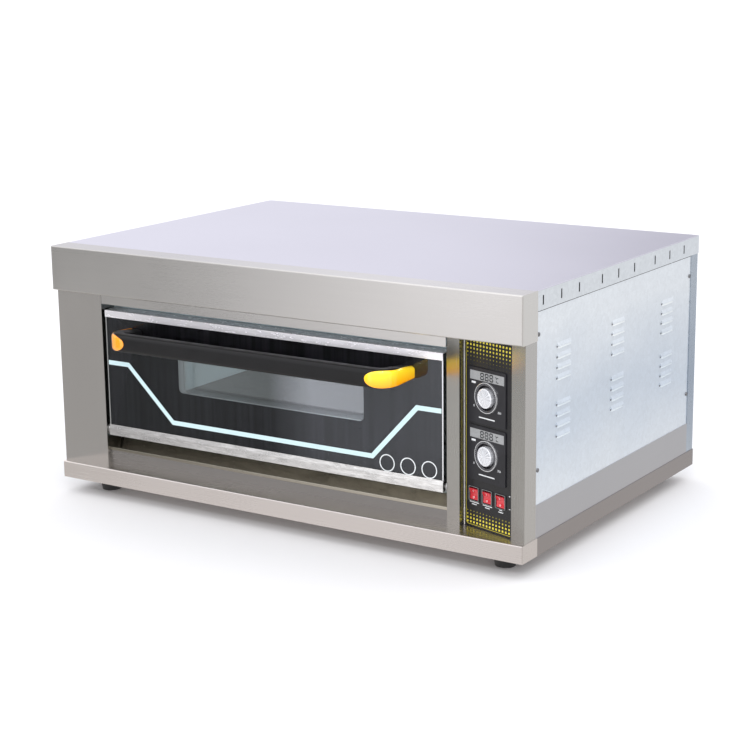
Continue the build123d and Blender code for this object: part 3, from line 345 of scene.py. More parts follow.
def ribbon(points, width, thickness):
    """Flat mitred band along points in the XY plane, standing on Z = 0."""
    points = [Vector((x, y, 0)) for x, y in points]
    runs = [b - a for a, b in zip(points, points[1:])]
    headings = [atan2(run.y, run.x) for run in runs]
    turns = [b - a for a, b in zip(headings, headings[1:])] + [0.0]
    begin()
    bpy.ops.mesh.primitive_plane_add(size=1)
    obj = bpy.context.active_object
    obj.scale = (width, width, 1)
    obj.rotation_euler = (0, 0, headings[0])
    obj.location = points[0] + runs[0].normalized() * width / 2
    apply_place(obj)
    far = points[0] + runs[0].normalized() * width / 2
    choose(obj, "VERT", lambda vertex: (vertex.co - far).dot(runs[0]) > 0)
    bpy.ops.transform.translate(value=points[1] - points[0] - runs[0].normalized() * width)
    before = 0.0
    for i, turn in enumerate(turns):
        if i:
            bpy.ops.mesh.extrude_region_move(TRANSFORM_OT_translate={"value": runs[i]})
        turn_chosen((before + turn) / 2, points[i + 1])
        grow = cos(before / 2) / cos(turn / 2)
        bpy.ops.transform.resize(value=(grow, grow, 1), center_override=points[i + 1])
        before = turn
    return raised(obj, thickness)


def turn_chosen(angle, centre):
    """Turn the chosen vertices about Z, anticlockwise seen from above."""
    if abs(angle) > 1e-6:
        bpy.ops.transform.rotate(value=-angle, orient_axis="Z", center_override=centre)


# ---------------------------------------------------------------- finish helpers
class Finish:
    """A material with one Principled shader and short ways to feed it."""

    def __init__(self, name, colour, roughness, metallic=0.0, **sockets):
        self.material = bpy.data.materials.new(name)
        self.material.use_nodes = True
        self.nodes = self.material.node_tree.nodes
        self.links = self.material.node_tree.links
        self.shader = self.nodes["Principled BSDF"]
        self.coordinates = self.nodes.new("ShaderNodeTexCoord")
        self.set(self.shader, "Base Color", (*colour, 1))
        self.set(self.shader, "Roughness", roughness)
        self.set(self.shader, "Metallic", metallic)
        for socket, value in sockets.items():
            self.set(self.shader, socket.replace("_", " "), value)

    def set(self, node, socket, value):
        """Give a socket a plain value, or link it."""
        if isinstance(value, bpy.types.NodeSocket):
            self.links.new(value, node.inputs[socket])
        else:
            node.inputs[socket].default_value = value

    def colour(self, value):
        """Feed the shader's base colour."""
        self.set(self.shader, "Base Color", value)

    def rough(self, value):
        """Feed the shader's roughness."""
        self.set(self.shader, "Roughness", value)

    def place(self, scale=(1, 1, 1), centre=(0, 0, 0), turn=(0, 0, 0)):
        """The piece's own coordinates, centred, turned and then stretched."""
        node = self.nodes.new("ShaderNodeMapping")
        node.vector_type = "TEXTURE"
        self.set(node, "Vector", self.coordinates.outputs["Object"])
        self.set(node, "Location", centre)
        self.set(node, "Rotation", turn)
        self.set(node, "Scale", tuple(1 / s for s in scale))
        return node.outputs["Vector"]

    def noise(self, vector, scale=1.0, detail=3.0, roughness=0.55, distortion=0.0):
        """Fractal noise from 0 to 1."""
        node = self.nodes.new("ShaderNodeTexNoise")
        self.set(node, "Vector", vector)
        self.set(node, "Scale", scale)
        self.set(node, "Detail", detail)
        self.set(node, "Roughness", roughness)
        self.set(node, "Distortion", distortion)
        return node.outputs["Fac"]

    def cells(self, vector, scale, feature="F1", output="Distance"):
        """Voronoi cells."""
        node = self.nodes.new("ShaderNodeTexVoronoi")
        node.feature = feature
        self.set(node, "Vector", vector)
        self.set(node, "Scale", scale)
        return node.outputs[output]

    def between(self, value, low, high, start=0.0, end=1.0):
        """Value spread from low to high as it runs from start to end."""
        node = self.nodes.new("ShaderNodeMapRange")
        self.set(node, "Value", value)
        self.set(node, "From Min", start)
        self.set(node, "From Max", end)
        self.set(node, "To Min", low)
        self.set(node, "To Max", high)
        return node.outputs["Result"]

    def sum(self, a, b, operation="ADD"):
        """Two values put together."""
        node = self.nodes.new("ShaderNodeMath")
        node.operation = operation
        for socket, value in zip(node.inputs, (a, b)):
            if isinstance(value, bpy.types.NodeSocket):
                self.links.new(value, socket)
            else:
                socket.default_value = value
        return node.outputs["Value"]

    def mix(self, factor, a, b, kind="MIX"):
        """Two colours mixed by a factor."""
        node = self.nodes.new("ShaderNodeMix")
        node.data_type = "RGBA"
        node.blend_type = kind
        for index, value in ((0, factor), (6, a), (7, b)):
            socket = node.inputs[index]
            if isinstance(value, bpy.types.NodeSocket):
                self.links.new(value, socket)
            elif index == 0:
                socket.default_value = value
            else:
                socket.default_value = (*value, 1)
        return node.outputs[2]

    def axis(self, name):
        """One of the piece's own coordinates."""
        node = self.nodes.new("ShaderNodeSeparateXYZ")
        self.set(node, "Vector", self.coordinates.outputs["Object"])
        return node.outputs[name]

    def grey(self, value):
        """A value as a colour."""
        node = self.nodes.new("ShaderNodeCombineColor")
        for channel in ("Red", "Green", "Blue"):
            self.set(node, channel, value)
        return node.outputs["Color"]

    def relief(self, height, distance, strength=1.0):
        """Bump from a height of 0 to 1."""
        node = self.nodes.new("ShaderNodeBump")
        self.set(node, "Height", height)
        self.set(node, "Distance", distance)
        self.set(node, "Strength", strength)
        self.set(self.shader, "Normal", node.outputs["Normal"])


def scaled(colour, factor):
    """A colour made lighter or darker."""
    return tuple(min(1.0, channel * factor) for channel in colour)


def brushed(name, colour, roughness, along="X", brush=0.045, smudge=0.04, painted_light_ramp=None,
            below=None, metallic=1.0):
    """Steel brushed along one axis, with handling marks.

    A ramp along X scales the colour lighter or darker between two places as painted light and
    shade, and below gives a height under which the metal shows a second colour.
    """
    finish = Finish(name, colour, roughness, metallic=metallic)
    fine = tuple(6 if axis == along else 1900 for axis in "XYZ")
    broad = tuple(0.9 if axis == along else 90 for axis in "XYZ")
    lines = finish.noise(finish.place(fine), detail=2)
    bands = finish.noise(finish.place(broad), detail=3)
    hands = finish.noise(finish.place((2.2, 2.2, 2.2)), detail=4, roughness=0.55, distortion=0.4)
    shade = finish.sum(finish.sum(lines, 0.7, "MULTIPLY"), finish.sum(bands, 0.3, "MULTIPLY"))
    tone = finish.mix(shade, scaled(colour, 1 - brush), scaled(colour, 1 + brush))
    # Painted light and shade: the colour is made lighter or darker along X to stand for how light
    # falls on the part.
    if painted_light_ramp:
        start, end, share = painted_light_ramp
        across = finish.between(finish.axis("X"), 1, share, start, end)
        tone = finish.mix(1.0, tone, finish.grey(across), "MULTIPLY")
    if below:
        height, second = below
        under = finish.between(finish.axis("Z"), 1, 0, height - 0.05 * MM, height + 0.05 * MM)
        spangle = finish.cells(finish.place(), 150, output="Color")
        tone = finish.mix(under, tone, finish.mix(spangle, scaled(second, 0.9), second))
    finish.colour(tone)
    rough = finish.sum(finish.between(lines, -0.04, 0.04),
                       finish.between(hands, roughness - smudge, roughness + smudge, 0.3, 0.7))
    finish.rough(rough)
    finish.relief(lines, 0.02 * MM, 0.4)
    return finish.material


def galvanised(name, colour, roughness=0.4, shade_above=None):
    """Zinc coat with small spangles, a darker bluer band near 0.29 m up, and painted shade above a
    given height.
    """
    finish = Finish(name, colour, roughness, metallic=0.8)
    wander = finish.place((1, 1, 1))
    crystals = finish.cells(wander, 130, output="Color")
    small = finish.cells(wander, 420, output="Color")
    clouds = finish.noise(finish.place((2.1, 2.1, 2.1)), detail=4, roughness=0.5)
    level = finish.sum(finish.axis("Z"), finish.between(clouds, -0.06, 0.06, 0.3, 0.7))
    level = finish.sum(level, finish.sum(finish.axis("Y"), 0.12, "MULTIPLY"))
    away = finish.sum(level, -0.29)
    away = finish.sum(finish.sum(away, away, "MULTIPLY"), 0.5, "POWER")
    tone = finish.sum(finish.sum(finish.between(crystals, 0, 0.42), finish.between(small, 0, 0.26)),
                      finish.between(clouds, 0, 0.32, 0.3, 0.7))
    coat = finish.mix(tone, scaled(colour, 0.90), scaled(colour, 1.1))
    bluer = tuple(c * k for c, k in zip(colour, (0.72, 0.77, 0.84)))
    coat = finish.mix(finish.between(away, 0.8, 0, 0.01, 0.17), coat,
                      finish.mix(tone, scaled(bluer, 0.9), scaled(bluer, 1.1)))
    if shade_above:
        # Painted shade: near black above the given height, where the panel is seen through the
        # cover's slots and would lie in shade.
        slot_shade = finish.between(finish.axis("Z"), 0, 1, shade_above - 0.1 * MM, shade_above + 0.1 * MM)
        coat = finish.mix(slot_shade, coat, (0.01, 0.01, 0.012))
    finish.colour(coat)
    finish.rough(finish.between(tone, roughness - 0.07, roughness + 0.08))
    finish.relief(clouds, 0.15 * MM, 0.25)
    return finish.material


def filmed(name, colour, crease, painted_light_ramp=(-0.5, 0.4, 1.0)):
    """Bright trim still in its crinkled clear film, with painted shade in the creases and along X.
    """
    finish = Finish(name, colour, 0.2, metallic=0.5, Coat_Weight=0.35, Coat_Roughness=0.08)
    long = finish.noise(finish.place((26, 90, 150)), detail=6, roughness=0.62, distortion=0.9)
    fine = finish.noise(finish.place((160, 500, 700)), detail=4)
    creases = finish.between(finish.sum(long, finish.sum(fine, 0.25, "MULTIPLY")), 0, 1, 0.45, 0.85)
    start, end, share = painted_light_ramp
    # Painted shade: the colour darkens in the film's creases and towards the left end.
    across = finish.grey(finish.between(finish.axis("X"), share, 1, start, end))
    tone = finish.mix(finish.sum(creases, crease, "MULTIPLY"), colour, scaled(colour, 0.35))
    finish.colour(finish.mix(1.0, tone, across, "MULTIPLY"))
    finish.rough(finish.between(creases, 0.12, 0.34))
    finish.relief(creases, 0.9 * MM, crease)
    return finish.material


def moulded(name, colour, roughness=0.42, grain=0.06, coat=0.0, shine=0.5):
    """Moulded plastic with a fine grain and a little polish where it is touched."""
    finish = Finish(name, colour, roughness, Coat_Weight=coat, Coat_Roughness=0.12,
                    Specular_IOR_Level=shine)
    grains = finish.noise(finish.place((1500, 1500, 1500)), detail=2)
    wear = finish.noise(finish.place((22, 22, 22)), detail=5, roughness=0.6)
    finish.colour(finish.mix(finish.between(wear, 0, 1, 0.35, 0.75), colour, scaled(colour, 1.35)))
    finish.rough(finish.sum(finish.between(wear, roughness - 0.08, roughness + 0.08, 0.3, 0.7),
                            finish.between(grains, -0.03, 0.03)))
    finish.relief(grains, grain * MM, 0.5)
    return finish.material


def printed(name, colour, roughness=0.35):
    """Printing ink with a slight unevenness."""
    finish = Finish(name, colour, roughness)
    ink = finish.noise(finish.place((900, 900, 900)), detail=3)
    finish.colour(finish.mix(ink, scaled(colour, 0.93), colour))
    finish.rough(finish.between(ink, roughness - 0.06, roughness + 0.06))
    return finish.material


def glazed(name, colour, cover=0.0):
    """Clear glass that mirrors by its angle and lets the rest through."""
    finish = Finish(name, colour, 0.0, metallic=1.0)
    film = finish.noise(finish.place((5, 5, 5)), detail=3)
    mirror = finish.nodes.new("ShaderNodeFresnel")
    mirror.inputs["IOR"].default_value = 1.5
    finish.set(finish.shader, "Alpha", finish.sum(mirror.outputs["Fac"],
                                                  finish.between(film, cover, cover + 0.012)))
    return finish.material


def dress(finish, *nodes):
    """Give CAD nodes a finish."""
    for name in nodes:
        for place in frame["nodes"][name].material_slots:
            place.material = finish


# ---------------------------------------------------------------- pieces
class OvenOperator:
    """What every operator of the oven shares."""

    bl_options = {"REGISTER", "UNDO"}

    @property
    def finishes(self):
        """The colours of the scene's oven."""
        return bpy.context.scene.oven_finishes

    @property
    def sizes(self):
        """The sizes of the scene's oven."""
        return bpy.context.scene.oven_sizes


class OVEN_OT_casing(OvenOperator, bpy.types.Operator):
    """Finish the folded sheet metal of the casing"""

    bl_idname = "oven.casing"
    bl_label = "Casing finishes"

    def execute(self, context):
        steel, rough = tuple(self.finishes.steel), self.finishes.steel_roughness
        zinc = tuple(self.finishes.zinc)
        # Painted light and shade: the stainless parts are one steel in lighter and darker copies,
        # lighter on the base front and darker on the base sides, left post and fascia; the canopy,
        # base front and sill also carry painted ramps along X.
        dress(brushed("stainless_front", steel, rough, painted_light_ramp=(-0.3, 0.35, 1.3)), "canopy",
              "header_strip")
        base = brushed("stainless_base", (0.74, 0.69, 0.665), rough - 0.02, painted_light_ramp=(-0.6, 0.6, 0.82))
        dress(base, "base_front")
        dress(brushed("stainless_base_side_shaded", (0.30, 0.275, 0.27), rough), "base_frame")
        dress(brushed("stainless_upright", scaled(steel, 0.94), 0.24, along="Z", brush=0.03),
              "right_front_posts")
        dress(brushed("stainless_left_post_shaded", scaled(steel, 0.82), 0.24, along="Z", brush=0.03),
              "left_front_post")
        dress(brushed("stainless_fascia_shaded", scaled(steel, 0.5), rough), "fascia")
        dress(brushed("stainless_sill", (0.26, 0.245, 0.205), 0.2, brush=0.03,
                      painted_light_ramp=(-0.5, 0.4, 1.7)), "sill")
        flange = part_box("top_cover")[1].z
        dress(brushed("zinc_top", (0.60, 0.595, 0.665), 0.34, smudge=0.02, brush=0.02,
                      below=(flange - 1.6 * MM, zinc)), "top_cover")
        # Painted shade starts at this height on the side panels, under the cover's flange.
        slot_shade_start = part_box("rear_corners")[1].z - 2.4 * MM
        dress(galvanised("zinc_coat", zinc, shade_above=slot_shade_start), "left_side_panel",
              "right_side_panel")
        dress(galvanised("zinc_back", zinc), "back_panel", "component_tray", "control_panel")
        # Painted shade: a darker copy of the zinc coat for the rear corners.
        dress(galvanised("zinc_corner_shaded", (0.40, 0.45, 0.51), 0.3), "rear_corners")
        dress(brushed("zinc_skirt", (0.46, 0.46, 0.48), 0.36, along="Y"), "side_skirts")
        return {"FINISHED"}


class OVEN_OT_chamber(OvenOperator, bpy.types.Operator):
    """Finish the baking chamber and what lies round it"""

    bl_idname = "oven.chamber"
    bl_label = "Chamber finishes"

    def execute(self, context):
        wall = brushed("chamber_steel", (0.52, 0.62, 0.66), 0.34, along="Y", brush=0.09,
                       metallic=0.4)
        dress(wall, "chamber_left_wall", "chamber_floor", "front_frame")
        # Painted shade: a darker copy of the chamber steel for the right wall, back wall and
        # ceiling.
        shaded_wall = brushed("chamber_steel_shaded", (0.15, 0.17, 0.19), 0.4, along="Z", brush=0.12,
                        metallic=0.5)
        dress(shaded_wall, "chamber_right_wall", "chamber_back_wall", "chamber_ceiling")
        dress(brushed("hinge_steel", (0.42, 0.42, 0.42), 0.38, brush=0.12), "hinge_brackets",
              "hinge_pins", "foot_bolts", "handle_screws")
        plate = Finish("hearth_plate", (0.05, 0.055, 0.06), 0.5, metallic=0.5)
        heat = plate.noise(plate.place((3.5, 3.5, 3.5)), detail=6, roughness=0.62, distortion=0.6)
        scale = plate.noise(plate.place((60, 60, 60)), detail=4)
        tint = plate.mix(plate.between(heat, 0, 1, 0.35, 0.65), (0.03, 0.036, 0.042),
                         (0.065, 0.06, 0.052))
        plate.colour(plate.mix(plate.between(scale, 0, 0.5), tint,
                               (0.045, 0.05, 0.055)))
        plate.rough(plate.between(scale, 0.38, 0.62))
        plate.relief(scale, 0.12 * MM, 0.5)
        dress(plate.material, "baking_plate")
        rod = Finish("element_sheath", (0.10, 0.095, 0.09), 0.5, metallic=0.8)
        blue = rod.noise(rod.place((18, 18, 18)), detail=4)
        rod.colour(rod.mix(rod.between(blue, 0, 1, 0.35, 0.7),
                           (0.06, 0.06, 0.07), (0.20, 0.15, 0.12)))
        rod.rough(rod.between(blue, 0.35, 0.6))
        rod.relief(rod.noise(rod.place((900, 900, 900))), 0.04 * MM)
        dress(rod.material, "heating_elements", "temperature_probes")
        wool = Finish("mineral_wool", (0.62, 0.56, 0.38), 0.95)
        fibres = wool.noise(wool.place((40, 900, 260)), detail=6, roughness=0.7, distortion=1.2)
        wool.colour(wool.mix(fibres, (0.42, 0.36, 0.22),
                             (0.80, 0.75, 0.56)))
        wool.relief(fibres, 1.4 * MM)
        dress(wool.material, "chamber_insulation", "door_insulation")
        glaze = Finish("glazed_ceramic", (0.80, 0.77, 0.70), 0.22, Coat_Weight=0.4)
        specks = glaze.noise(glaze.place((420, 420, 420)), detail=3)
        glaze.colour(glaze.mix(specks, (0.72, 0.69, 0.62),
                               (0.86, 0.83, 0.77)))
        glaze.rough(glaze.between(specks, 0.14, 0.3))
        dress(glaze.material, "lamp", "terminal_block")
        dress(glazed("lamp_lens", (0.97, 0.98, 0.95), 0.12), "lamp_glass")
        return {"FINISHED"}


class OVEN_OT_door(OvenOperator, bpy.types.Operator):
    """Finish the door's glass, print, trims and seal"""

    bl_idname = "oven.door"
    bl_label = "Door finishes"

    def execute(self, context):
        dress(glazed("door_pane", (0.90, 0.95, 0.98)), "door_glass", "door_inner_glass")
        dark = tuple(self.finishes.print_black)
        enamel = Finish("glass_enamel", dark, 0.5, Specular_IOR_Level=0.1)
        streaks = enamel.noise(enamel.place((85, 85, 1.2)), detail=4, roughness=0.6)
        enamel.colour(enamel.mix(enamel.between(streaks, 0, 1, 0.35, 0.75), dark,
                                 scaled(dark, 2.6)))
        enamel.rough(enamel.between(streaks, 0.42, 0.6))
        dress(enamel.material, "glass_print")
        dress(filmed("filmed_top_trim", (0.92, 0.91, 0.95), 0.12), "door_top_trim")
        dress(filmed("filmed_bottom_trim", (0.90, 0.89, 0.88), 0.7, (-0.5, 0.3, 0.5)),
              "door_bottom_trim")
        dress(brushed("polished_edge", (0.72, 0.73, 0.74), 0.16, along="Z"),
              "door_side_channels")
        dress(brushed("window_steel", (0.84, 0.90, 0.92), 0.2, brush=0.05, metallic=0.35),
              "window_surround")
        dress(brushed("door_pan_steel", (0.56, 0.56, 0.56), 0.32), "door_pan")
        seal = Finish("silicone_seal", (0.32, 0.055, 0.03), 0.55, Subsurface_Weight=0.1,
                      Subsurface_Radius=(0.002, 0.001, 0.0008))
        bloom = seal.noise(seal.place((30, 30, 30)), detail=5)
        seal.colour(seal.mix(bloom, (0.25, 0.04, 0.025),
                             (0.42, 0.09, 0.055)))
        seal.rough(seal.between(bloom, 0.45, 0.7))
        seal.relief(seal.noise(seal.place((700, 700, 700))), 0.08 * MM)
        dress(seal.material, "door_seal")
        bush = Finish("bush_bronze", (0.55, 0.34, 0.14), 0.38, metallic=1.0)
        pores = bush.cells(bush.place((1, 1, 1)), 1500)
        bush.colour(bush.mix(pores, (0.36, 0.22, 0.09),
                             (0.62, 0.40, 0.18)))
        bush.rough(bush.between(pores, 0.3, 0.5))
        dress(bush.material, "hinge_bushes")
        return {"FINISHED"}


class OVEN_OT_door_marks(OvenOperator, bpy.types.Operator):
    """Print the stripe and three plain rings on the door glass"""

    bl_idname = "oven.door_marks"
    bl_label = "Door marks"

    corner_rise: FloatProperty(name="Upper corners", description="Above the bottom of the door",
                               default=173 * MM, unit="LENGTH")
    run_rise: FloatProperty(name="Lower run", description="Above the bottom of the door",
                            default=53 * MM, unit="LENGTH")
    ring_radius: FloatProperty(name="Ring radius", description="Radius of each plain ring",
                               default=19 * MM, unit="LENGTH")
    first_ring: FloatProperty(name="First ring", description="Right of the middle of the door",
                              default=314 * MM, unit="LENGTH")
    ring_pitch: FloatProperty(name="Ring spacing", description="Between the middles of two rings",
                              default=52 * MM, unit="LENGTH")
    ring_rise: FloatProperty(name="Ring height", description="Above the bottom of the door",
                             default=43 * MM, unit="LENGTH")

    def execute(self, context):
        glass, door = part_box("door_glass"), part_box("door_bottom_trim")
        mid, bottom = (door[0].x + door[1].x) / 2, door[0].z
        end = (door[1].x - door[0].x) / 2 - 4.5 * MM
        face = Matrix.Translation((mid, glass[0].y - PRINT_LIFT, bottom)) @ Euler(
            (pi / 2, 0, 0)).to_matrix().to_4x4()
        upper, lower = self.corner_rise, self.run_rise
        outer, left, right = 389 * MM, -263 * MM, 277 * MM
        stripe = ribbon([(-end, upper), (-outer, upper), (left, lower),
                         (right, lower), (outer, upper), (end, upper)],
                        self.sizes.stripe_width, PRINT_THICKNESS)
        ink = printed("stripe_ink", tuple(self.finishes.stripe), 0.28)
        settle(moved(stripe, face), "door_stripe", ink, "door", smooth=0)
        ring = outline(40, self.ring_radius, self.sizes.mark_line, PRINT_THICKNESS)
        rings = repeated(ring, [Matrix.Translation((self.first_ring + step * self.ring_pitch,
                                                    self.ring_rise, 0)) for step in range(3)])
        pale = printed("mark_ink", (0.80, 0.84, 0.86), 0.3)
        settle(moved(rings, face), "door_outlines", pale, "door",
               smooth=0)
        return {"FINISHED"}


def handle_bar(rounding, grow=0.0):
    """The bow handle: a bar with two arms that run back to the glass."""
    lo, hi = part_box("door_handle")
    mid, level = (lo.x + hi.x) / 2, (lo.z + hi.z) / 2
    splay, bar, foot_height, foot_width = (value * MM for value in (5, 31, 27, 38))
    tip = (hi.x - lo.x) / 2 - splay + grow
    front, back = lo.y - grow, hi.y
    height, depth, corner = hi.z - lo.z + 2 * grow, bar + 2 * grow, HANDLE_CORNER + grow
    arm_length = back - front - corner
    lean = atan2(splay, back - lo.y)
    begin()
    bpy.ops.mesh.primitive_plane_add(size=1, rotation=(0, pi / 2, 0),
                                     location=(mid, front + depth / 2, level))
    obj = bpy.context.active_object
    obj.scale = (height, depth, 1)
    apply_place(obj)
    bpy.ops.object.mode_set(mode="EDIT")
    bpy.ops.mesh.select_all(action="SELECT")
    bpy.ops.mesh.bevel(affect="VERTICES", offset=rounding + grow, segments=5)
    bpy.ops.mesh.select_all(action="SELECT")
    bpy.ops.mesh.extrude_region_move(TRANSFORM_OT_translate={"value": (tip - corner, 0, 0)})
    bpy.ops.mesh.spin(steps=12, angle=lean - pi / 2, axis=(0, 0, 1),
                      center=(mid + tip - corner, front + corner, level))
    reach = Vector((sin(lean), cos(lean), 0)) * arm_length / cos(lean)
    bpy.ops.mesh.extrude_region_move(TRANSFORM_OT_translate={"value": reach})
    chosen = [v.co.copy() for v in bmesh.from_edit_mesh(obj.data).verts if v.select]
    centre = sum(chosen, Vector()) / len(chosen)
    centre.y = back
    bpy.ops.transform.resize(value=(foot_width / bar, 0, (foot_height + 2 * grow) / height),
                             center_override=centre)
    choose(obj, "FACE", lambda face: abs(middle(face).x - mid) < 1e-5 and abs(face.normal.x) > 0.9)
    bpy.ops.mesh.delete(type="ONLY_FACE")
    bpy.ops.mesh.select_all(action="SELECT")
    bpy.ops.mesh.duplicate()
    bpy.ops.transform.resize(value=(-1, 1, 1), center_override=(mid, 0, 0))
    bpy.ops.mesh.select_all(action="SELECT")
    bpy.ops.mesh.remove_doubles(threshold=1e-5)
    bpy.ops.mesh.normals_make_consistent(inside=False)
    return obj, mid, level


class OVEN_OT_handle(OvenOperator, bpy.types.Operator):
    """Model the bow handle with its parting line"""

    bl_idname = "oven.handle"
    bl_label = "Door handle"

    seam_rise: FloatProperty(name="Seam", description="Parting line above the bar's middle",
                             default=10.4 * MM, unit="LENGTH")
    seam_width: FloatProperty(name="Seam width", description="Width of the parting line",
                              default=0.9 * MM, unit="LENGTH")

    def execute(self, context):
        obj, mid, level = handle_bar(self.sizes.handle_round)
        for side in (-1, 1):
            bpy.ops.mesh.select_all(action="SELECT")
            bpy.ops.mesh.bisect(
                plane_co=(mid, 0, level + self.seam_rise + side * self.seam_width / 2),
                plane_no=(0, 0, 1))
        choose(obj, "FACE", lambda face: abs(middle(face).z - level - self.seam_rise)
               < self.seam_width / 2 and abs(face.normal.z) < 0.5)
        bpy.ops.transform.shrink_fatten(value=-self.seam_width * 0.7)
        black = moulded("handle_moulding", (0.007, 0.007, 0.008), 0.38, shine=0.28)
        settle(obj, "handle_bar", black, "door", replaces=["door_handle"],
               smooth=38)
        return {"FINISHED"}


class OVEN_OT_handle_caps(OvenOperator, bpy.types.Operator):
    """Model the translucent caps on the ends of the handle"""

    bl_idname = "oven.handle_caps"
    bl_label = "Handle caps"

    def execute(self, context):
        lo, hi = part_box("handle_caps")
        body_lo, body_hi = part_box("door_handle")
        grow = body_lo.y - lo.y
        tip, nose, wall = 320.5 * MM, 38 * MM, 6.5 * MM
        colour = tuple(self.finishes.amber)
        for side, name, painted_glow in ((-1, "left", 0.12), (1, "right", 0.45)):
            obj, mid, level = handle_bar(self.sizes.handle_round, grow)
            begin()
            bullet = drum(1, 1, 64, turn=(pi / 2, 0, 0))
            bullet.scale = (nose, 0.3, (hi.z - lo.z) / 2)
            shoulder = mid + side * (tip + nose)
            bullet.location = (shoulder, (lo.y + hi.y) / 2, level)
            apply_place(bullet)
            choose(bullet, "VERT", lambda vertex: (vertex.co.x - shoulder) * side > 1e-6)
            bpy.ops.transform.translate(value=(side * 0.1, 0, 0))
            combine(obj, bullet, "INTERSECT")
            half = (body_hi.x - body_lo.x) / 2 - wall
            core = box((mid - half, body_lo.y + wall, level - 0.1), (mid + half, 0.1, level + 0.1))
            choose(core, "EDGE", lambda edge: abs(edge.verts[0].co.z - edge.verts[1].co.z) > 0.1
                   and middle(edge).y < 0)
            bpy.ops.mesh.bevel(offset=HANDLE_CORNER - wall, segments=12)
            combine(obj, core, "DIFFERENCE")
            soften(obj, 0.9 * MM, 3, 50)
            # Painted light: the caps are given a glow by emission, stronger on the right one,
            # though they hold no lamp; the colour also grows lighter towards the top, and yellow on
            # the right cap.
            amber = Finish(f"amber_{name}", colour, 0.18, Subsurface_Weight=0.4,
                           Subsurface_Radius=(0.02, 0.009, 0.002), Coat_Weight=1.0,
                           Coat_Roughness=0.03, Emission_Strength=painted_glow)
            top_light = amber.between(amber.axis("Z"), 0, 1, level - 0.018, level + 0.012)
            lower_shade = scaled(colour, 0.9)
            warm = amber.mix(top_light, lower_shade, (1.0, 0.68, 0.02) if side > 0 else (1.0, 0.36, 0.0))
            amber.colour(warm)
            amber.set(amber.shader, "Emission Color", warm)
            amber.relief(amber.cells(amber.place((1, 0.4, 1)), 130), 0.5 * MM, 0.2)
            settle(obj, f"{name}_handle_cap", amber.material, "door",
                   replaces=["handle_caps"], smooth=40)
        return {"FINISHED"}


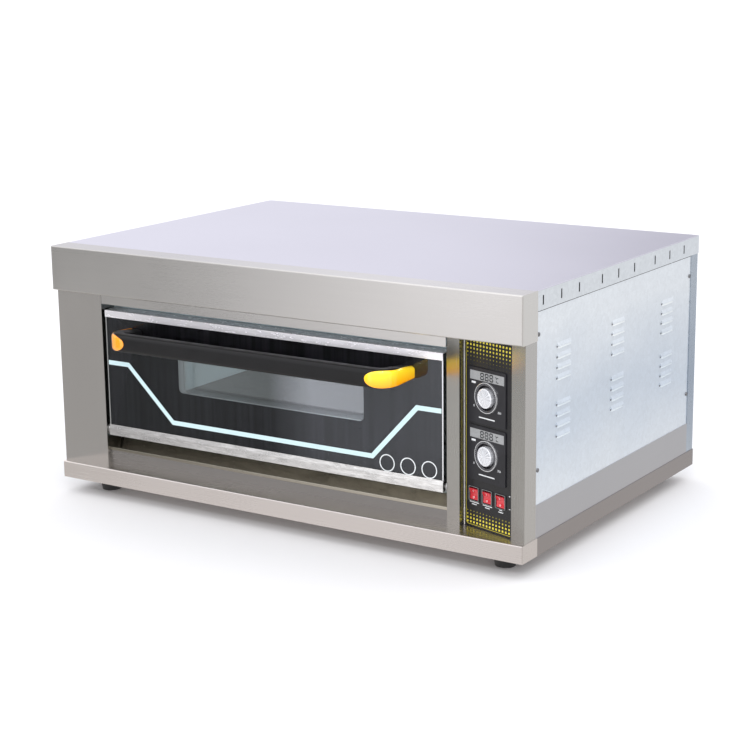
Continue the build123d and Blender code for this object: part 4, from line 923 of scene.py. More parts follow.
class OVEN_OT_panel(OvenOperator, bpy.types.Operator):
    """Finish the control panel and print its dots, border and bars"""

    bl_idname = "oven.panel"
    bl_label = "Control panel print"

    def execute(self, context):
        dress(moulded("panel_film", (0.009, 0.009, 0.011), 0.3, 0.02, coat=0.1), "panel_overlay")
        dress(moulded("controller_moulding", (0.013, 0.013, 0.017), 0.34), "controllers")
        dress(moulded("contactor_moulding", (0.014, 0.014, 0.015), 0.32), "contactors")
        dial = DIAL_CENTRES["upper"]
        film = frame["nodes"]["panel_overlay"].data.vertices
        along = [(vertex.co - dial).dot(PANEL_ALONG) for vertex in film]
        left, right = min(along), max(along)
        low, high = (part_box("panel_overlay")[i].z - dial.z for i in (0, 1))
        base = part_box("base_front")[0].z - dial.z
        lift = PRINT_LIFT - PLATE_RISE
        pitch, row = self.sizes.dot_pitch, self.sizes.dot_row
        columns = int((right - left - 8 * MM) / pitch) + 1
        start = (left + right) / 2 + 1.2 * MM - (columns - 1) * pitch / 2
        yellow = tuple(self.finishes.yellow)
        top_row, foot_row, foot_step = base + 430 * MM, base + 47.9 * MM, 7.8 * MM
        fading_down = ((2.5, 1.15), (2.4, 1.1), (2.2, 0.9), (1.9, 0.6), (1.5, 0.3), (1.2, 0.14),
                       (0.9, 0.07))
        fading_up = ((2.5, 1.15), (2.3, 1.1), (1.9, 0.8), (1.4, 0.45))
        tops = [(top_row - row * i, *size_and_ink) for i, size_and_ink in enumerate(fading_down)]
        feet = [(foot_row + foot_step * i, *size_and_ink)
                for i, size_and_ink in enumerate(fading_up)]
        for number, (v, radius, ink) in enumerate(tops + feet):
            dot = plate(radius * 1.8 * MM, radius * 1.8 * MM, PRINT_THICKNESS, radius * 0.5 * MM)
            line = repeated(dot, [on_panel(dial, start + i * pitch, v, lift)
                                  for i in range(columns)])
            settle(line, f"panel_dots_{number + 1}", printed(f"panel_yellow_{number + 1}",
                                                             scaled(yellow, ink), 0.4),
                   "casing", smooth=0)
        strip = box((left - 2.6 * MM, low, -1.0 * MM), (left - 0.4 * MM, high, 1.2 * MM))
        soften(strip, 0.5 * MM, 3)
        settle(moved(strip, on_panel(dial, out=-PLATE_RISE)), "panel_edge_strip",
               brushed("edge_strip", (0.85, 0.85, 0.85), 0.18, along="Z", metallic=0.6), "casing",
               smooth=40)
        width = self.sizes.border_width
        inset, foot = 3.4 * MM, base + 42.5 * MM
        corner = 7 * MM
        turns = [(left + inset + corner * (1 - cos(a)), foot + corner * (1 - sin(a)))
                 for a in (radians(10 * i) for i in range(10))]
        line = [(left + inset, high - 2 * MM), *turns, (right - 1.5 * MM, foot)]
        border = moved(ribbon(line, width, PRINT_THICKNESS), on_panel(dial, out=lift))
        settle(border, "panel_border", printed("border_yellow", scaled(yellow, 0.62), 0.4),
               "casing", smooth=0)
        bars = [("plate", 0, v, 46, 2.4) for v in (275.5, 155)]
        for u, widths in ((-38.5, (27, 14)), (0, (27, 14)), (38.5, (9, 14))):
            bars += [("film", u, 91.5, widths[0], 1.9), ("film", u, 87, widths[1], 1.9)]
        bars += [("film", 64, 126, 4, 1.6), ("film", 64, 99, 4, 1.6)]
        printed_bars = [moved(plate(w * MM, h * MM, PRINT_THICKNESS, h * 0.45 * MM),
                              on_panel(dial, u * MM, base + v * MM,
                                       PRINT_LIFT if on == "plate" else lift))
                        for on, u, v, w, h in bars]
        white = printed("panel_white", (0.78, 0.80, 0.82), 0.4)
        settle(joined(printed_bars), "panel_bars", white, "casing", smooth=0)
        for name, centre in DIAL_CENTRES.items():
            texts = []
            for u, v, words, height in ((-37, -24, "0", 7), (36, -27, "350", 6.5)):
                begin()
                bpy.ops.object.text_add()
                text = bpy.context.active_object
                text.data.body = words
                text.data.size = height * MM
                text.data.align_x = "CENTER"
                text.data.extrude = PRINT_THICKNESS / 2
                text.data.resolution_u = 3
                bpy.ops.object.convert(target="MESH")
                texts.append(moved(bpy.context.active_object,
                                   on_panel(centre, u * MM, v * MM, PRINT_LIFT * 2)))
            texts.append(moved(plate(12 * MM, 4.2 * MM, PRINT_THICKNESS, 0.8 * MM),
                               on_panel(centre, -38 * MM, 27 * MM, PRINT_LIFT)))
            settle(joined(texts), f"{name}_dial_numbers", white, "casing",
                   smooth=0)
        return {"FINISHED"}


class OVEN_OT_displays(OvenOperator, bpy.types.Operator):
    """Finish the displays and set their segments"""

    bl_idname = "oven.displays"
    bl_label = "Displays"

    digit_height: FloatProperty(name="Digit height", description="Height of a digit",
                                default=15.4 * MM, unit="LENGTH")
    digit_width: FloatProperty(name="Digit width", description="Width of a digit",
                               default=10.6 * MM, unit="LENGTH")
    stroke: FloatProperty(name="Stroke", description="Width of a segment", default=2.5 * MM,
                          unit="LENGTH")

    def segments(self, letters):
        """Segments of a digit about its middle: A to G as usual."""
        w, h, stroke = self.digit_width, self.digit_height / 2, self.stroke
        long, tall = w - stroke, h - stroke
        spots = {"A": (0, h - stroke / 2, 0), "G": (0, 0, 0), "D": (0, stroke / 2 - h, 0),
                 "B": (w / 2 - stroke / 2, h / 2, 1), "C": (w / 2 - stroke / 2, -h / 2, 1),
                 "F": (stroke / 2 - w / 2, h / 2, 1), "E": (stroke / 2 - w / 2, -h / 2, 1)}
        made = []
        for letter in letters:
            x, y, upright = spots[letter]
            size = (stroke, tall) if upright else (long, stroke)
            made.append(plate(*size, PRINT_THICKNESS, stroke * 0.4, (x, y)))
        return joined(made)

    def execute(self, context):
        screen = Finish("display_film", (0.26, 0.27, 0.27), 0.3, Coat_Weight=0.5,
                        Coat_Roughness=0.1)
        fine = screen.noise(screen.place((700, 700, 700)), detail=2)
        wide = screen.noise(screen.place((60, 60, 60)), detail=3)
        tone = screen.sum(screen.between(fine, 0, 0.6), screen.between(wide, 0, 0.4))
        screen.colour(screen.mix(tone, (0.15, 0.155, 0.16),
                                 (0.50, 0.51, 0.52)))
        screen.rough(screen.between(tone, 0.22, 0.42))
        dress(screen.material, "displays")
        dark = printed("segment_ink", (0.02, 0.022, 0.025), 0.3)
        level, out = 42 * MM, PRINT_LIFT - DISPLAY_RECESS
        for name, centre in DIAL_CENTRES.items():
            marks = [moved(self.segments("ABCDEFG"), on_panel(centre, (-14 + 13.2 * i) * MM,
                                                               level, out)) for i in range(3)]
            marks.append(moved(self.segments("ADEF"),
                               on_panel(centre, 30 * MM, level - 1.2 * MM, out)
                               @ Matrix.Scale(0.72, 4)))
            marks.append(moved(outline(14, 1.5 * MM, 0.6 * MM, PRINT_THICKNESS),
                               on_panel(centre, 24.6 * MM, level + 4.4 * MM, out)))
            settle(joined(marks), f"{name}_display_digits", dark, "casing",
                   smooth=0)
        return {"FINISHED"}


class OVEN_OT_dial_rings(OvenOperator, bpy.types.Operator):
    """Model the chrome dial rings with their ticks"""

    bl_idname = "oven.dial_rings"
    bl_label = "Dial rings"

    radius: FloatProperty(name="Radius", description="Outside radius", default=31.5 * MM,
                          unit="LENGTH")
    wall: FloatProperty(name="Wall", description="Width of the ring", default=5.5 * MM,
                        unit="LENGTH")
    height: FloatProperty(name="Height", description="Ring above the plate", default=4 * MM,
                          unit="LENGTH")
    ticks: IntProperty(name="Ticks", description="Ticks over three quarters of a turn", default=31,
                       min=2)

    def execute(self, context):
        chrome = Finish("dial_satin", (0.17, 0.17, 0.19), 0.22, metallic=0.9)
        haze = chrome.noise(chrome.place((35, 35, 35)), detail=4)
        chrome.rough(chrome.between(haze, 0.06, 0.16))
        chrome.relief(chrome.noise(chrome.place((600, 600, 600))), 0.01 * MM, 0.4)
        rings, ticks, rims = [], [], []
        for centre in DIAL_CENTRES.values():
            ring = outline(72, self.radius, self.wall, self.height)
            choose(ring, "EDGE", lambda edge: min(v.co.z for v in edge.verts) > self.height * 0.9
                   and abs(edge.verts[0].co.length - edge.verts[1].co.length) < 1e-5)
            bpy.ops.mesh.bevel(offset=1.1 * MM, segments=4)
            rings.append(moved(ring, on_panel(centre)))
            rim = outline(72, self.radius + 0.2 * MM, 1.3 * MM, self.height + 0.5 * MM)
            soften(rim, 0.45 * MM, 2, 60)
            rims.append(moved(rim, on_panel(centre)))
            tick = plate(0.4 * MM, 1.5 * MM, PRINT_THICKNESS, 0.1 * MM,
                         (0, self.radius - self.wall / 2))
            sweep = 1.5 * pi
            ticks.append(repeated(tick, [
                on_panel(centre, out=self.height + PRINT_LIFT)
                @ Matrix.Rotation(sweep / 2 - sweep * i / (self.ticks - 1), 4, "Z")
                for i in range(self.ticks)]))
        settle(joined(rings), "chrome_dial_rings", chrome.material, "casing",
               replaces=["dial_rings"], smooth=40)
        settle(joined(ticks), "dial_ticks", printed("tick_ink", (0.42, 0.43, 0.45), 0.4),
               "casing", smooth=0)
        bright = Finish("dial_chrome", (0.85, 0.86, 0.88), 0.12, metallic=0.7)
        haze = bright.noise(bright.place((60, 60, 60)), detail=4)
        bright.rough(bright.between(haze, 0.08, 0.2))
        settle(joined(rims), "chrome_dial_rims", bright.material, "casing", smooth=40)
        return {"FINISHED"}


class OVEN_OT_knobs(OvenOperator, bpy.types.Operator):
    """Model the fluted temperature knobs with their red pointers"""

    bl_idname = "oven.knobs"
    bl_label = "Knobs"

    radius: FloatProperty(name="Radius", description="Radius of the grip", default=20.6 * MM,
                          unit="LENGTH")

    def execute(self, context):
        flutes = self.sizes.knob_flutes
        for name, centre in DIAL_CENTRES.items():
            foot, crown = -3.4 * MM, 7.4 * MM
            sides = flutes * 4
            obj = drum(self.radius, crown - foot, sides, (0, 0, (crown + foot) / 2))
            choose(obj, "FACE", lambda face: abs(face.normal.z) < 0.5
                   and sector(face, sides) % 4 in (1, 2))
            bpy.ops.transform.resize(value=(0.98, 0.98, 1), center_override=(0, 0, 0))
            choose(obj, "FACE", lambda face: face.normal.z > 0.9)
            bpy.ops.mesh.inset(thickness=2.2 * MM, depth=1.2 * MM)
            bpy.ops.mesh.inset(thickness=1.6 * MM, depth=0)
            bpy.ops.mesh.inset(thickness=0.7 * MM, depth=-0.8 * MM)
            bpy.ops.mesh.inset(thickness=7.5 * MM, depth=0.9 * MM)
            bpy.ops.mesh.select_all(action="SELECT")
            bpy.ops.mesh.normals_make_consistent(inside=False)
            silver = Finish(f"{name}_knob_silver", (0.78, 0.79, 0.83), 0.26, metallic=0.3,
                            Coat_Weight=0.4, Coat_Roughness=0.1)
            local = silver.place(centre=centre, turn=on_panel(centre).to_euler())
            node = silver.nodes.new("ShaderNodeTexGradient")
            node.gradient_type = "RADIAL"
            silver.set(node, "Vector", local)
            spun = silver.nodes.new("ShaderNodeTexNoise")
            spun.noise_dimensions = "1D"
            silver.set(spun, "W", node.outputs["Fac"])
            silver.set(spun, "Scale", 26.0)
            silver.set(spun, "Detail", 5.0)
            silver.colour(silver.mix(
silver.between(spun.outputs["Fac"], 0, 1, 0.3, 0.7), (0.70, 0.72, 0.76),
(0.82, 0.83, 0.87)))
            silver.rough(silver.between(spun.outputs["Fac"], 0.16, 0.36, 0.3, 0.7))
            settle(moved(obj, on_panel(centre)), f"{name}_knob_grip", silver.material,
                   f"{name}_temperature_knob", replaces=[f"{name}_knob"], smooth=30)
            pointer = plate(3.6 * MM, 3.4 * MM, 1.0 * MM, 0.8 * MM, (0, self.radius + 1.2 * MM))
            soften(pointer, 0.3 * MM, 2)
            turned = on_panel(centre, out=0.6 * MM) @ Matrix.Rotation(radians(135), 4, "Z")
            settle(moved(pointer, turned), f"{name}_knob_pointer",
                   moulded(f"{name}_pointer_red", (0.75, 0.02, 0.03), 0.35),
                   f"{name}_temperature_knob")
        return {"FINISHED"}


class OVEN_OT_rockers(OvenOperator, bpy.types.Operator):
    """Model the red rocker switches, with a faint painted glow"""

    bl_idname = "oven.rockers"
    bl_label = "Rocker switches"

    width: FloatProperty(name="Width", description="Along the panel", default=23.4 * MM,
                         unit="LENGTH")

    def rim(self):
        """Pale line round the mouth of a bezel, a painted highlight on its edge."""
        obj = plate(27.2 * MM, 30.4 * MM, 0.5 * MM, 1.6 * MM)
        mouth = moved(plate(25.6 * MM, 28.9 * MM, 4 * MM, 1.0 * MM),
                      Matrix.Translation((0, 0, -2 * MM)))
        combine(obj, mouth, "DIFFERENCE")
        return obj

    def bezel(self):
        """Rounded frame of a switch with its box behind the panel, about the panel's face."""
        obj = plate(31 * MM, 31 * MM, 2.3 * MM, 2 * MM)
        housing = moved(plate(27 * MM, 28 * MM, 22 * MM), Matrix.Translation((0, 0, -21.9 * MM)))
        combine(obj, housing, "UNION")
        mouth = moved(plate(24.4 * MM, 27.8 * MM, 40 * MM), Matrix.Translation((0, 0, -19.6 * MM)))
        combine(obj, mouth, "DIFFERENCE")
        soften(obj, 0.6 * MM, 3, 50)
        return obj

    def execute(self, context):
        red = tuple(self.finishes.red)
        frames, rims = [], []
        for name in ("power", "top_heat", "bottom_heat"):
            pivot = Vector(JOINTS[f"{name}_switch_tilt"]["pos_m"])
            half, crest, dip, keel = (value * MM for value in (12.0, 6.7, 3.2, -9.5))
            obj = box((-self.width / 2, -half, keel), (self.width / 2, half, crest))
            bpy.ops.object.mode_set(mode="EDIT")
            bpy.ops.mesh.select_all(action="SELECT")
            bpy.ops.mesh.bisect(plane_co=(0, 0, 0), plane_no=(0, 1, 0))
            choose(obj, "EDGE", lambda edge: middle(edge).z > crest * 0.9
                   and abs(edge.verts[0].co.y) + abs(edge.verts[1].co.y) < 1e-6)
            bpy.ops.transform.translate(value=(0, 0, -dip))
            bpy.ops.mesh.bevel(offset=5 * MM, segments=6)
            choose(obj, "VERT", lambda vertex: vertex.co.z < keel * 0.9)
            bpy.ops.transform.resize(value=(1, 0.72, 1), center_override=(0, 0, 0))
            soften(obj, 1.1 * MM, 3, 50)
            tilted = on_panel(pivot) @ Matrix.Rotation(ROCKER_TILT, 4, "X")
            # Painted light: the lens has a faint glow by emission, though no lamp is modelled in
            # it.
            lens = Finish(f"{name}_rocker_red", red, 0.16, Subsurface_Weight=0.4,
                          Subsurface_Radius=(0.012, 0.002, 0.002), Coat_Weight=0.8,
                          Coat_Roughness=0.05, Emission_Strength=0.03,
                          Emission_Color=(*scaled(red, 1.2), 1))
            ribs = lens.noise(lens.place((420, 420, 25)), detail=2)
            lens.colour(lens.mix(ribs, scaled(red, 0.55),
                                 (0.80, 0.03, 0.05)))
            lens.relief(ribs, 0.2 * MM, 0.35)
            settle(moved(obj, tilted), f"{name}_rocker_lens", lens.material, f"{name}_switch",
                   replaces=[f"{name}_rocker"], smooth=40)
            bar = moved(plate(0.9 * MM, 4.2 * MM, 0.25 * MM, 0.4 * MM),
                        Matrix.Translation((0, 7.0 * MM, 5.45 * MM))
                        @ Matrix.Rotation(radians(14.9), 4, "X"))
            ring = moved(outline(20, 2.1 * MM, 0.7 * MM, 0.25 * MM),
                         Matrix.Translation((0, -7.0 * MM, 5.45 * MM))
                         @ Matrix.Rotation(radians(-14.9), 4, "X"))
            settle(moved(joined([bar, ring]), tilted), f"{name}_rocker_marks",
                   printed(f"{name}_rocker_white", (0.9, 0.8, 0.8), 0.4), f"{name}_switch",
                   smooth=0)
            frames.append(moved(self.bezel(), on_panel(pivot, out=ROCKER_PIVOT_DEPTH)))
            rims.append(moved(self.rim(), on_panel(pivot, out=ROCKER_PIVOT_DEPTH + 2.2 * MM)))
        settle(joined(frames), "switch_bezels",
               moulded("switch_frame_moulding", (0.03, 0.03, 0.033), 0.2, coat=0.8), "casing",
               replaces=["rocker_bezels"], smooth=40)
        # Painted highlight: a pale grey ring stands for the light caught on the edge of each
        # bezel's mouth.
        settle(joined(rims), "switch_highlight_rims", printed("switch_highlight_grey", (0.26, 0.27, 0.27), 0.3),
               "casing", smooth=40)
        return {"FINISHED"}


class OVEN_OT_screws(OvenOperator, bpy.types.Operator):
    """Model the cross-recessed casing screws"""

    bl_idname = "oven.screws"
    bl_label = "Casing screws"

    radius: FloatProperty(name="Radius", description="Radius of a head", default=4.5 * MM,
                          unit="LENGTH")

    def execute(self, context):
        obj = drum(self.radius, SCREW_HEAD, 28, (0, 0, SCREW_HEAD / 2))
        choose(obj, "FACE", lambda face: face.normal.z > 0.9)
        bpy.ops.mesh.bevel(offset=1.5 * MM, segments=4)
        for turn in (0, pi / 2):
            slot = box((-2.4 * MM, -0.45 * MM, SCREW_HEAD - 1.2 * MM),
                       (2.4 * MM, 0.45 * MM, 5 * MM))
            choose(slot, "FACE", lambda face: face.normal.z < -0.9)
            bpy.ops.transform.resize(value=(0.5, 0.6, 1), center_override=(0, 0, 0))
            begin()
            combine(obj, moved(slot, Matrix.Rotation(turn, 4, "Z")), "DIFFERENCE")
        places = []
        for centre, out in screw_places():
            away = out.to_track_quat("Z", "Y").to_matrix().to_4x4()
            places.append(Matrix.Translation(centre) @ away)
        steel = brushed("zinc_plated", (0.22, 0.22, 0.23), 0.3)
        settle(repeated(obj, places), "casing_screw_heads", steel, "casing",
               replaces=["casing_screws"], smooth=35)
        return {"FINISHED"}


def screw_places():
    """Middle of each screw's seat on the casing, and which way it faces."""
    lo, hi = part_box("casing_screws")
    points = [vertex.co for vertex in frame["nodes"]["casing_screws"].data.vertices]
    found = []
    for out, level in ((Vector((1, 0, 0)), hi.x), (Vector((-1, 0, 0)), -lo.x),
                       (Vector((0, 1, 0)), hi.y)):
        tops = [p for p in points if p.dot(out) > level - 0.01 * MM]
        groups = []
        for p in tops:
            near = [g for g in groups if (g[0] - p).length < 12 * MM]
            if near:
                near[0].append(p)
            else:
                groups.append([p])
        for group in groups:
            low = Vector(min(p[i] for p in group) for i in range(3))
            high = Vector(max(p[i] for p in group) for i in range(3))
            found.append(((low + high) / 2 - out * SCREW_HEAD, out))
    return found


class OVEN_OT_feet(OvenOperator, bpy.types.Operator):
    """Model the moulded rubber feet"""

    bl_idname = "oven.feet"
    bl_label = "Rubber feet"

    def execute(self, context):
        lo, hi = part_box("rubber_feet")
        top, tip = 30 * MM, 22 * MM
        height = hi.z - lo.z
        obj = drum(top, height, 56, (0, 0, height / 2))
        choose(obj, "VERT", lambda vertex: vertex.co.z < height / 2)
        bpy.ops.transform.resize(value=(tip / top, tip / top, 1), center_override=(0, 0, 0))
        for share in (0.16, 0.22, 0.74, 0.80):
            bpy.ops.mesh.select_all(action="SELECT")
            bpy.ops.mesh.bisect(plane_co=(0, 0, height * share), plane_no=(0, 0, 1))
        for low, high in ((0.16, 0.22), (0.74, 0.80)):
            choose(obj, "FACE", lambda face: low < middle(face).z / height < high)
            bpy.ops.transform.shrink_fatten(value=-0.9 * MM)
        choose(obj, "FACE", lambda face: face.normal.z < -0.9)
        bpy.ops.mesh.inset(thickness=tip * 0.42, depth=0)
        bpy.ops.mesh.extrude_region_move(TRANSFORM_OT_translate={"value": (0, 0, 12 * MM)})
        soften(obj, 0.9 * MM, 2, 50)
        spots = [Vector((x, y, 0)) for x in (lo.x + top, hi.x - top)
                 for y in (lo.y + top, hi.y - top)]
        rubber = Finish("foot_rubber", (0.016, 0.016, 0.017), 0.72)
        dust = rubber.noise(rubber.place((45, 45, 45)), detail=5)
        rubber.colour(rubber.mix(
rubber.between(dust, 0, 1, 0.5, 0.8), (0.013, 0.013, 0.014), (0.05, 0.048, 0.045)))
        rubber.rough(rubber.between(dust, 0.6, 0.85))
        rubber.relief(rubber.noise(rubber.place((900, 900, 900))), 0.08 * MM)
        settle(repeated(obj, [Matrix.Translation(spot) for spot in spots]), "moulded_feet",
               rubber.material, "casing", replaces=["rubber_feet"], smooth=35)
        return {"FINISHED"}


class OVEN_OT_louvres(OvenOperator, bpy.types.Operator):
    """Press the louvres into the side panels"""

    bl_idname = "oven.louvres"
    bl_label = "Side louvres"

    length: FloatProperty(name="Length", description="Front to back", default=60 * MM,
                          unit="LENGTH")
    drop: FloatProperty(name="Height", description="Height of a hood", default=10 * MM,
                        unit="LENGTH")
    stand: FloatProperty(name="Stand", description="Hood out of the sheet", default=3.3 * MM,
                         unit="LENGTH")

    def execute(self, context):
        # Painted light: the hoods take a lighter copy of the zinc coat than the panels.
        finish = galvanised("zinc_louvre_lit", scaled(tuple(self.finishes.zinc), 1.22), 0.36)
        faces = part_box("right_side_panel")[1].x - 3 * MM
        for side, name in ((1, "right"), (-1, "left")):
            flip = Matrix.Scale(side, 4, (1, 0, 0))
            obj = box((-0.3 * MM, -self.length / 2, -self.drop * 0.42),
                      (self.stand, self.length / 2, self.drop * 0.58))
            choose(obj, "FACE", lambda face: face.normal.x > 0.9)
            bpy.ops.transform.resize(value=(1, 0.9, 1), center_override=(0, 0, 0))
            choose(obj, "EDGE", lambda edge: all(v.co.x > self.stand * 0.9 for v in edge.verts)
                   and all(v.co.z > 0 for v in edge.verts))
            bpy.ops.transform.translate(value=(-self.stand * 0.9, 0, 0))
            choose(obj, "FACE", lambda face: face.normal.z < -0.9)
            bpy.ops.mesh.inset(thickness=0.6 * MM, depth=-3 * MM)
            soften(obj, 0.7 * MM, 3, 25)
            hoods = face_outward(repeated(obj, [Matrix.Translation((side * faces, y, z)) @ flip
                                                for y, z in louvre_places()]))
            settle(hoods, f"{name}_louvres", finish, "casing", smooth=40)
            # Painted shadow: small dark blocks at the front end of each hood stand for the shade in
            # its opening.
            shade_block = box((-0.2 * MM, -0.8 * MM, -2.0 * MM), (1.2 * MM, 0.8 * MM, 1.6 * MM))
            front = self.length / 2
            shade_blocks = face_outward(repeated(shade_block, [
                Matrix.Translation((side * faces, y - front, z)) @ flip
                for y, z in louvre_places()]))
            settle(shade_blocks, f"{name}_louvre_shade_blocks", printed(f"{name}_cut_shade", (0.14, 0.14, 0.15)),
                   "casing", smooth=0)
        return {"FINISHED"}


def louvre_places():
    """Middle of each louvre on the side panel, front to back and up."""
    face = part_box("right_side_panel")[1].x
    points = [v.co for v in frame["nodes"]["right_side_panel"].data.vertices
              if v.co.x > face - 0.01 * MM]
    ends = sorted({round(p.y, 5) for p in points})
    levels = sorted({round(p.z, 5) for p in points})
    columns = [(a + b) / 2 for a, b in zip(ends, ends[1:]) if 50 * MM < b - a < 62 * MM]
    rows = [(a + b) / 2 for a, b in zip(levels, levels[1:]) if b - a < 1.5 * MM]
    return [(y, z) for y in columns for z in rows]


class OVEN_OT_gland(OvenOperator, bpy.types.Operator):
    """Model the ribbed cable gland on the back"""

    bl_idname = "oven.gland"
    bl_label = "Cable gland"

    def execute(self, context):
        lo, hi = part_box("cable_gland")
        x, z = (lo.x + hi.x) / 2, (lo.z + hi.z) / 2
        bore, body = 6 * MM, (hi.x - lo.x) / 2
        out = Euler((-pi / 2, 0, 0)).to_matrix().to_4x4()
        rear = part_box("back_panel")[1].y
        nut_height = 7 * MM
        nut = outline(6, body, body - bore, nut_height)
        soften(nut, 0.7 * MM, 2)
        ribs, wide = 60, 13.2 * MM
        dome = outline(ribs, wide, wide - bore, hi.y - rear - nut_height)
        choose(dome, "FACE", lambda face: abs(face.normal.z) < 0.5
               and (middle(face).to_2d().length > 10 * MM)
               and sector(face, ribs) % 2)
        bpy.ops.transform.resize(value=(0.95, 0.95, 1), center_override=(0, 0, 0))
        choose(dome, "VERT", lambda vertex: vertex.co.z > 1 * MM
               and vertex.co.to_2d().length > 9 * MM)
        bpy.ops.transform.resize(value=(0.74, 0.74, 1), center_override=(0, 0, 0))
        dome = moved(dome, Matrix.Translation((0, 0, nut_height)))
        inner = moved(outline(6, 15 * MM, 15 * MM - bore, 6 * MM),
                      Matrix.Translation((0, 0, -(rear - lo.y))))
        thread = moved(outline(48, 9.8 * MM, 9.8 * MM - bore, rear - lo.y),
                       Matrix.Translation((0, 0, -(rear - lo.y))))
        gland = joined([nut, dome, inner, thread])
        settle(moved(gland, Matrix.Translation((x, rear, z)) @ out), "ribbed_gland",
               moulded("gland_moulding", (0.02, 0.02, 0.022), 0.45), "casing",
               replaces=["cable_gland"], smooth=35)
        return {"FINISHED"}


class OVEN_OT_stage(OvenOperator, bpy.types.Operator):
    """Set the floor, the light and the camera"""

    bl_idname = "oven.stage"
    bl_label = "Stage"

    def execute(self, context):
        stage = context.scene.oven_stage
        begin()
        bpy.ops.mesh.primitive_plane_add(size=160)
        floor = bpy.context.active_object
        floor.name = "floor"
        paper = Finish("floor_paper", (0.86, 0.86, 0.87), 0.9)
        grain = paper.noise(paper.place((40, 40, 40)), detail=3)
        paper.colour(paper.mix(grain, (0.855, 0.855, 0.865),
                               (0.865, 0.865, 0.875)))
        floor.data.materials.append(paper.material)
        floor.visible_glossy = False
        self.sky(context)
        key = bpy.data.lights.new("overhead", "SUN")
        key.energy = stage.key_strength
        key.angle = radians(165)
        sun = bpy.data.objects.new("overhead", key)
        sun.rotation_euler = (radians(10), 0, 0)
        context.scene.collection.objects.link(sun)
        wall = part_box("chamber_right_wall")
        self.panel_light("oven_lamp", (wall[0].x - 0.02, (wall[0].y + wall[1].y) / 2,
                                       (wall[0].z + wall[1].z) / 2 + 0.03), (-1, 0, -0.02),
                         (0.1, 0.4), stage.chamber_power, (0.90, 1.0, 1.0))
        self.panel_light("strip", (1.9, -3.2, 2.3), (-1.6, 2.9, -1.9), (1.2, 0.12),
                         stage.strip_power, (1, 1, 1))
        camera = bpy.data.objects.new("camera", bpy.data.cameras.new("camera"))
        camera.data.lens = stage.lens
        camera.location = stage.camera_place
        camera.rotation_euler = (
            Matrix.Rotation(stage.camera_yaw, 4, "Z")
            @ Matrix.Rotation(pi / 2 - stage.camera_pitch, 4, "X")
            @ Matrix.Rotation(stage.camera_roll, 4, "Z")).to_euler()
        camera.data.clip_end = 200
        context.scene.collection.objects.link(camera)
        context.scene.camera = camera
        context.scene.view_settings.view_transform = "Standard"
        return {"FINISHED"}

    def panel_light(self, name, place, aim, size, power, colour):
        """A rectangular light that shines along aim."""
        light = bpy.data.lights.new(name, "AREA")
        light.shape = "RECTANGLE"
        light.size, light.size_y = size
        light.energy = power
        light.color = colour
        obj = bpy.data.objects.new(name, light)
        obj.location = place
        obj.rotation_euler = Vector(aim).to_track_quat("-Z", "Y").to_euler()
        bpy.context.scene.collection.objects.link(obj)

    def sky(self, context):
        """Studio surroundings, brighter to the front left and pale overhead."""
        world = bpy.data.worlds.new("studio")
        context.scene.world = world
        world.use_nodes = True
        nodes, links = world.node_tree.nodes, world.node_tree.links
        around = nodes.new("ShaderNodeTexCoord")
        parts = nodes.new("ShaderNodeSeparateXYZ")
        links.new(around.outputs["Generated"], parts.inputs[0])
        flip = nodes.new("ShaderNodeMath")
        flip.operation = "MULTIPLY"
        flip.inputs[1].default_value = -1
        links.new(parts.outputs["Y"], flip.inputs[0])
        angle = nodes.new("ShaderNodeMath")
        angle.operation = "ARCTAN2"
        links.new(parts.outputs["X"], angle.inputs[0])
        links.new(flip.outputs[0], angle.inputs[1])
        turn = nodes.new("ShaderNodeMapRange")
        links.new(angle.outputs[0], turn.inputs["Value"])
        turn.inputs["From Min"].default_value = -pi
        turn.inputs["From Max"].default_value = pi
        walls = nodes.new("ShaderNodeValToRGB")
        links.new(turn.outputs[0], walls.inputs[0])
        stops = [
            (0.0, (0.48, 0.47, 0.52)),
            (0.066, (0.4, 0.39, 0.45)),
            (0.082, (0.8, 0.79, 0.86)),
            (0.13, (0.9, 0.89, 0.97)),
            (0.2, (0.55, 0.55, 0.56)),
            (0.275, (0.4, 0.41, 0.4)),
            (0.302, (0.92, 0.92, 0.9)),
            (0.33, (0.26, 0.26, 0.25)),
            (0.375, (0.36, 0.36, 0.35)),
            (0.3998, (0.34, 0.34, 0.335)),
            (0.4012, (1.2, 1.18, 1.26)),
            (0.418, (1.6, 1.58, 1.66)),
            (0.45, (0.8, 0.8, 0.79)),
            (0.58, (0.66, 0.64, 0.64)),
            (0.75, (0.7, 0.7, 0.72)),
            (0.915, (1.0, 1.0, 1.0)),
            (0.94, (0.82, 0.83, 0.86)),
            (1.0, (0.48, 0.47, 0.52)),
        ]
        ramp = walls.color_ramp
        while len(ramp.elements) < len(stops):
            ramp.elements.new(0.5)
        for element, (place, colour) in zip(ramp.elements, stops):
            element.position = place
            element.color = (*colour, 1)
        def share(start, end):
            """How far the height has run from start to end."""
            node = nodes.new("ShaderNodeMapRange")
            node.interpolation_type = "SMOOTHSTEP"
            links.new(parts.outputs["Z"], node.inputs["Value"])
            node.inputs["From Min"].default_value = start
            node.inputs["From Max"].default_value = end
            return node.outputs[0]

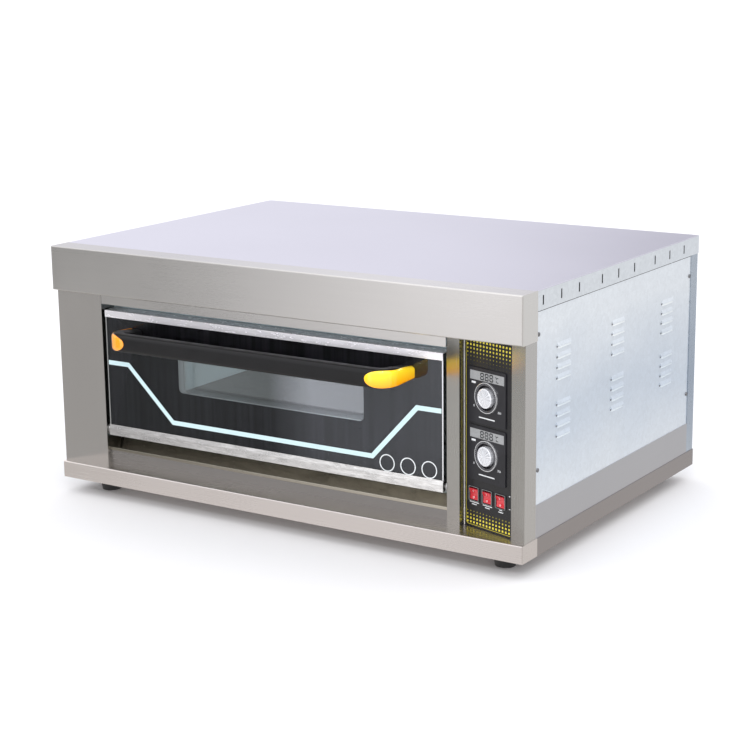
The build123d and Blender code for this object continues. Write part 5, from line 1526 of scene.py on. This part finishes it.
        def turned_to(colour, factor, second):
            """One colour giving way to a second one."""
            node = nodes.new("ShaderNodeMix")
            node.data_type = "RGBA"
            links.new(factor, node.inputs[0])
            links.new(colour, node.inputs[6])
            node.inputs[7].default_value = (*second, 1)
            return node.outputs[2]

        above = turned_to(walls.outputs[0], share(0.3, 0.7), (0.95, 0.95, 0.98))
        surround = turned_to(above, share(-0.265, -0.31), (0.86, 0.83, 0.80))
        links.new(surround, nodes["Background"].inputs["Color"])


class OVEN_PT_panel(bpy.types.Panel):
    """The oven's operators and settings"""

    bl_idname = "OVEN_PT_panel"
    bl_label = "Deck Oven"
    bl_space_type = "VIEW_3D"
    bl_region_type = "UI"
    bl_category = "Oven"

    def draw(self, context):
        for group in ("oven_finishes", "oven_sizes", "oven_stage"):
            settings = getattr(context.scene, group)
            for name in settings.bl_rna.properties.keys():
                if name not in ("rna_type", "name"):
                    self.layout.prop(settings, name)
        for operator in OPERATORS:
            self.layout.operator(operator.bl_idname)


OPERATORS = (
    OVEN_OT_casing, OVEN_OT_chamber, OVEN_OT_door, OVEN_OT_door_marks, OVEN_OT_handle,
    OVEN_OT_handle_caps, OVEN_OT_panel, OVEN_OT_displays, OVEN_OT_dial_rings, OVEN_OT_knobs,
    OVEN_OT_rockers, OVEN_OT_screws, OVEN_OT_feet, OVEN_OT_louvres, OVEN_OT_gland,
    OVEN_OT_stage,
)
SETTINGS = {"oven_finishes": OvenFinishes, "oven_sizes": OvenSizes, "oven_stage": OvenStage}


def register():
    for name, group in SETTINGS.items():
        bpy.utils.register_class(group)
        setattr(bpy.types.Scene, name, PointerProperty(type=group))
    for operator in OPERATORS:
        bpy.utils.register_class(operator)
    bpy.utils.register_class(OVEN_PT_panel)


def unregister():
    bpy.utils.unregister_class(OVEN_PT_panel)
    for operator in reversed(OPERATORS):
        bpy.utils.unregister_class(operator)
    for name, group in SETTINGS.items():
        delattr(bpy.types.Scene, name)
        bpy.utils.unregister_class(group)


def main():
    register()
    for operator in OPERATORS:
        getattr(bpy.ops.oven, operator.bl_idname.split(".")[1])()
    begin()


if __name__ == "__main__":
    main()
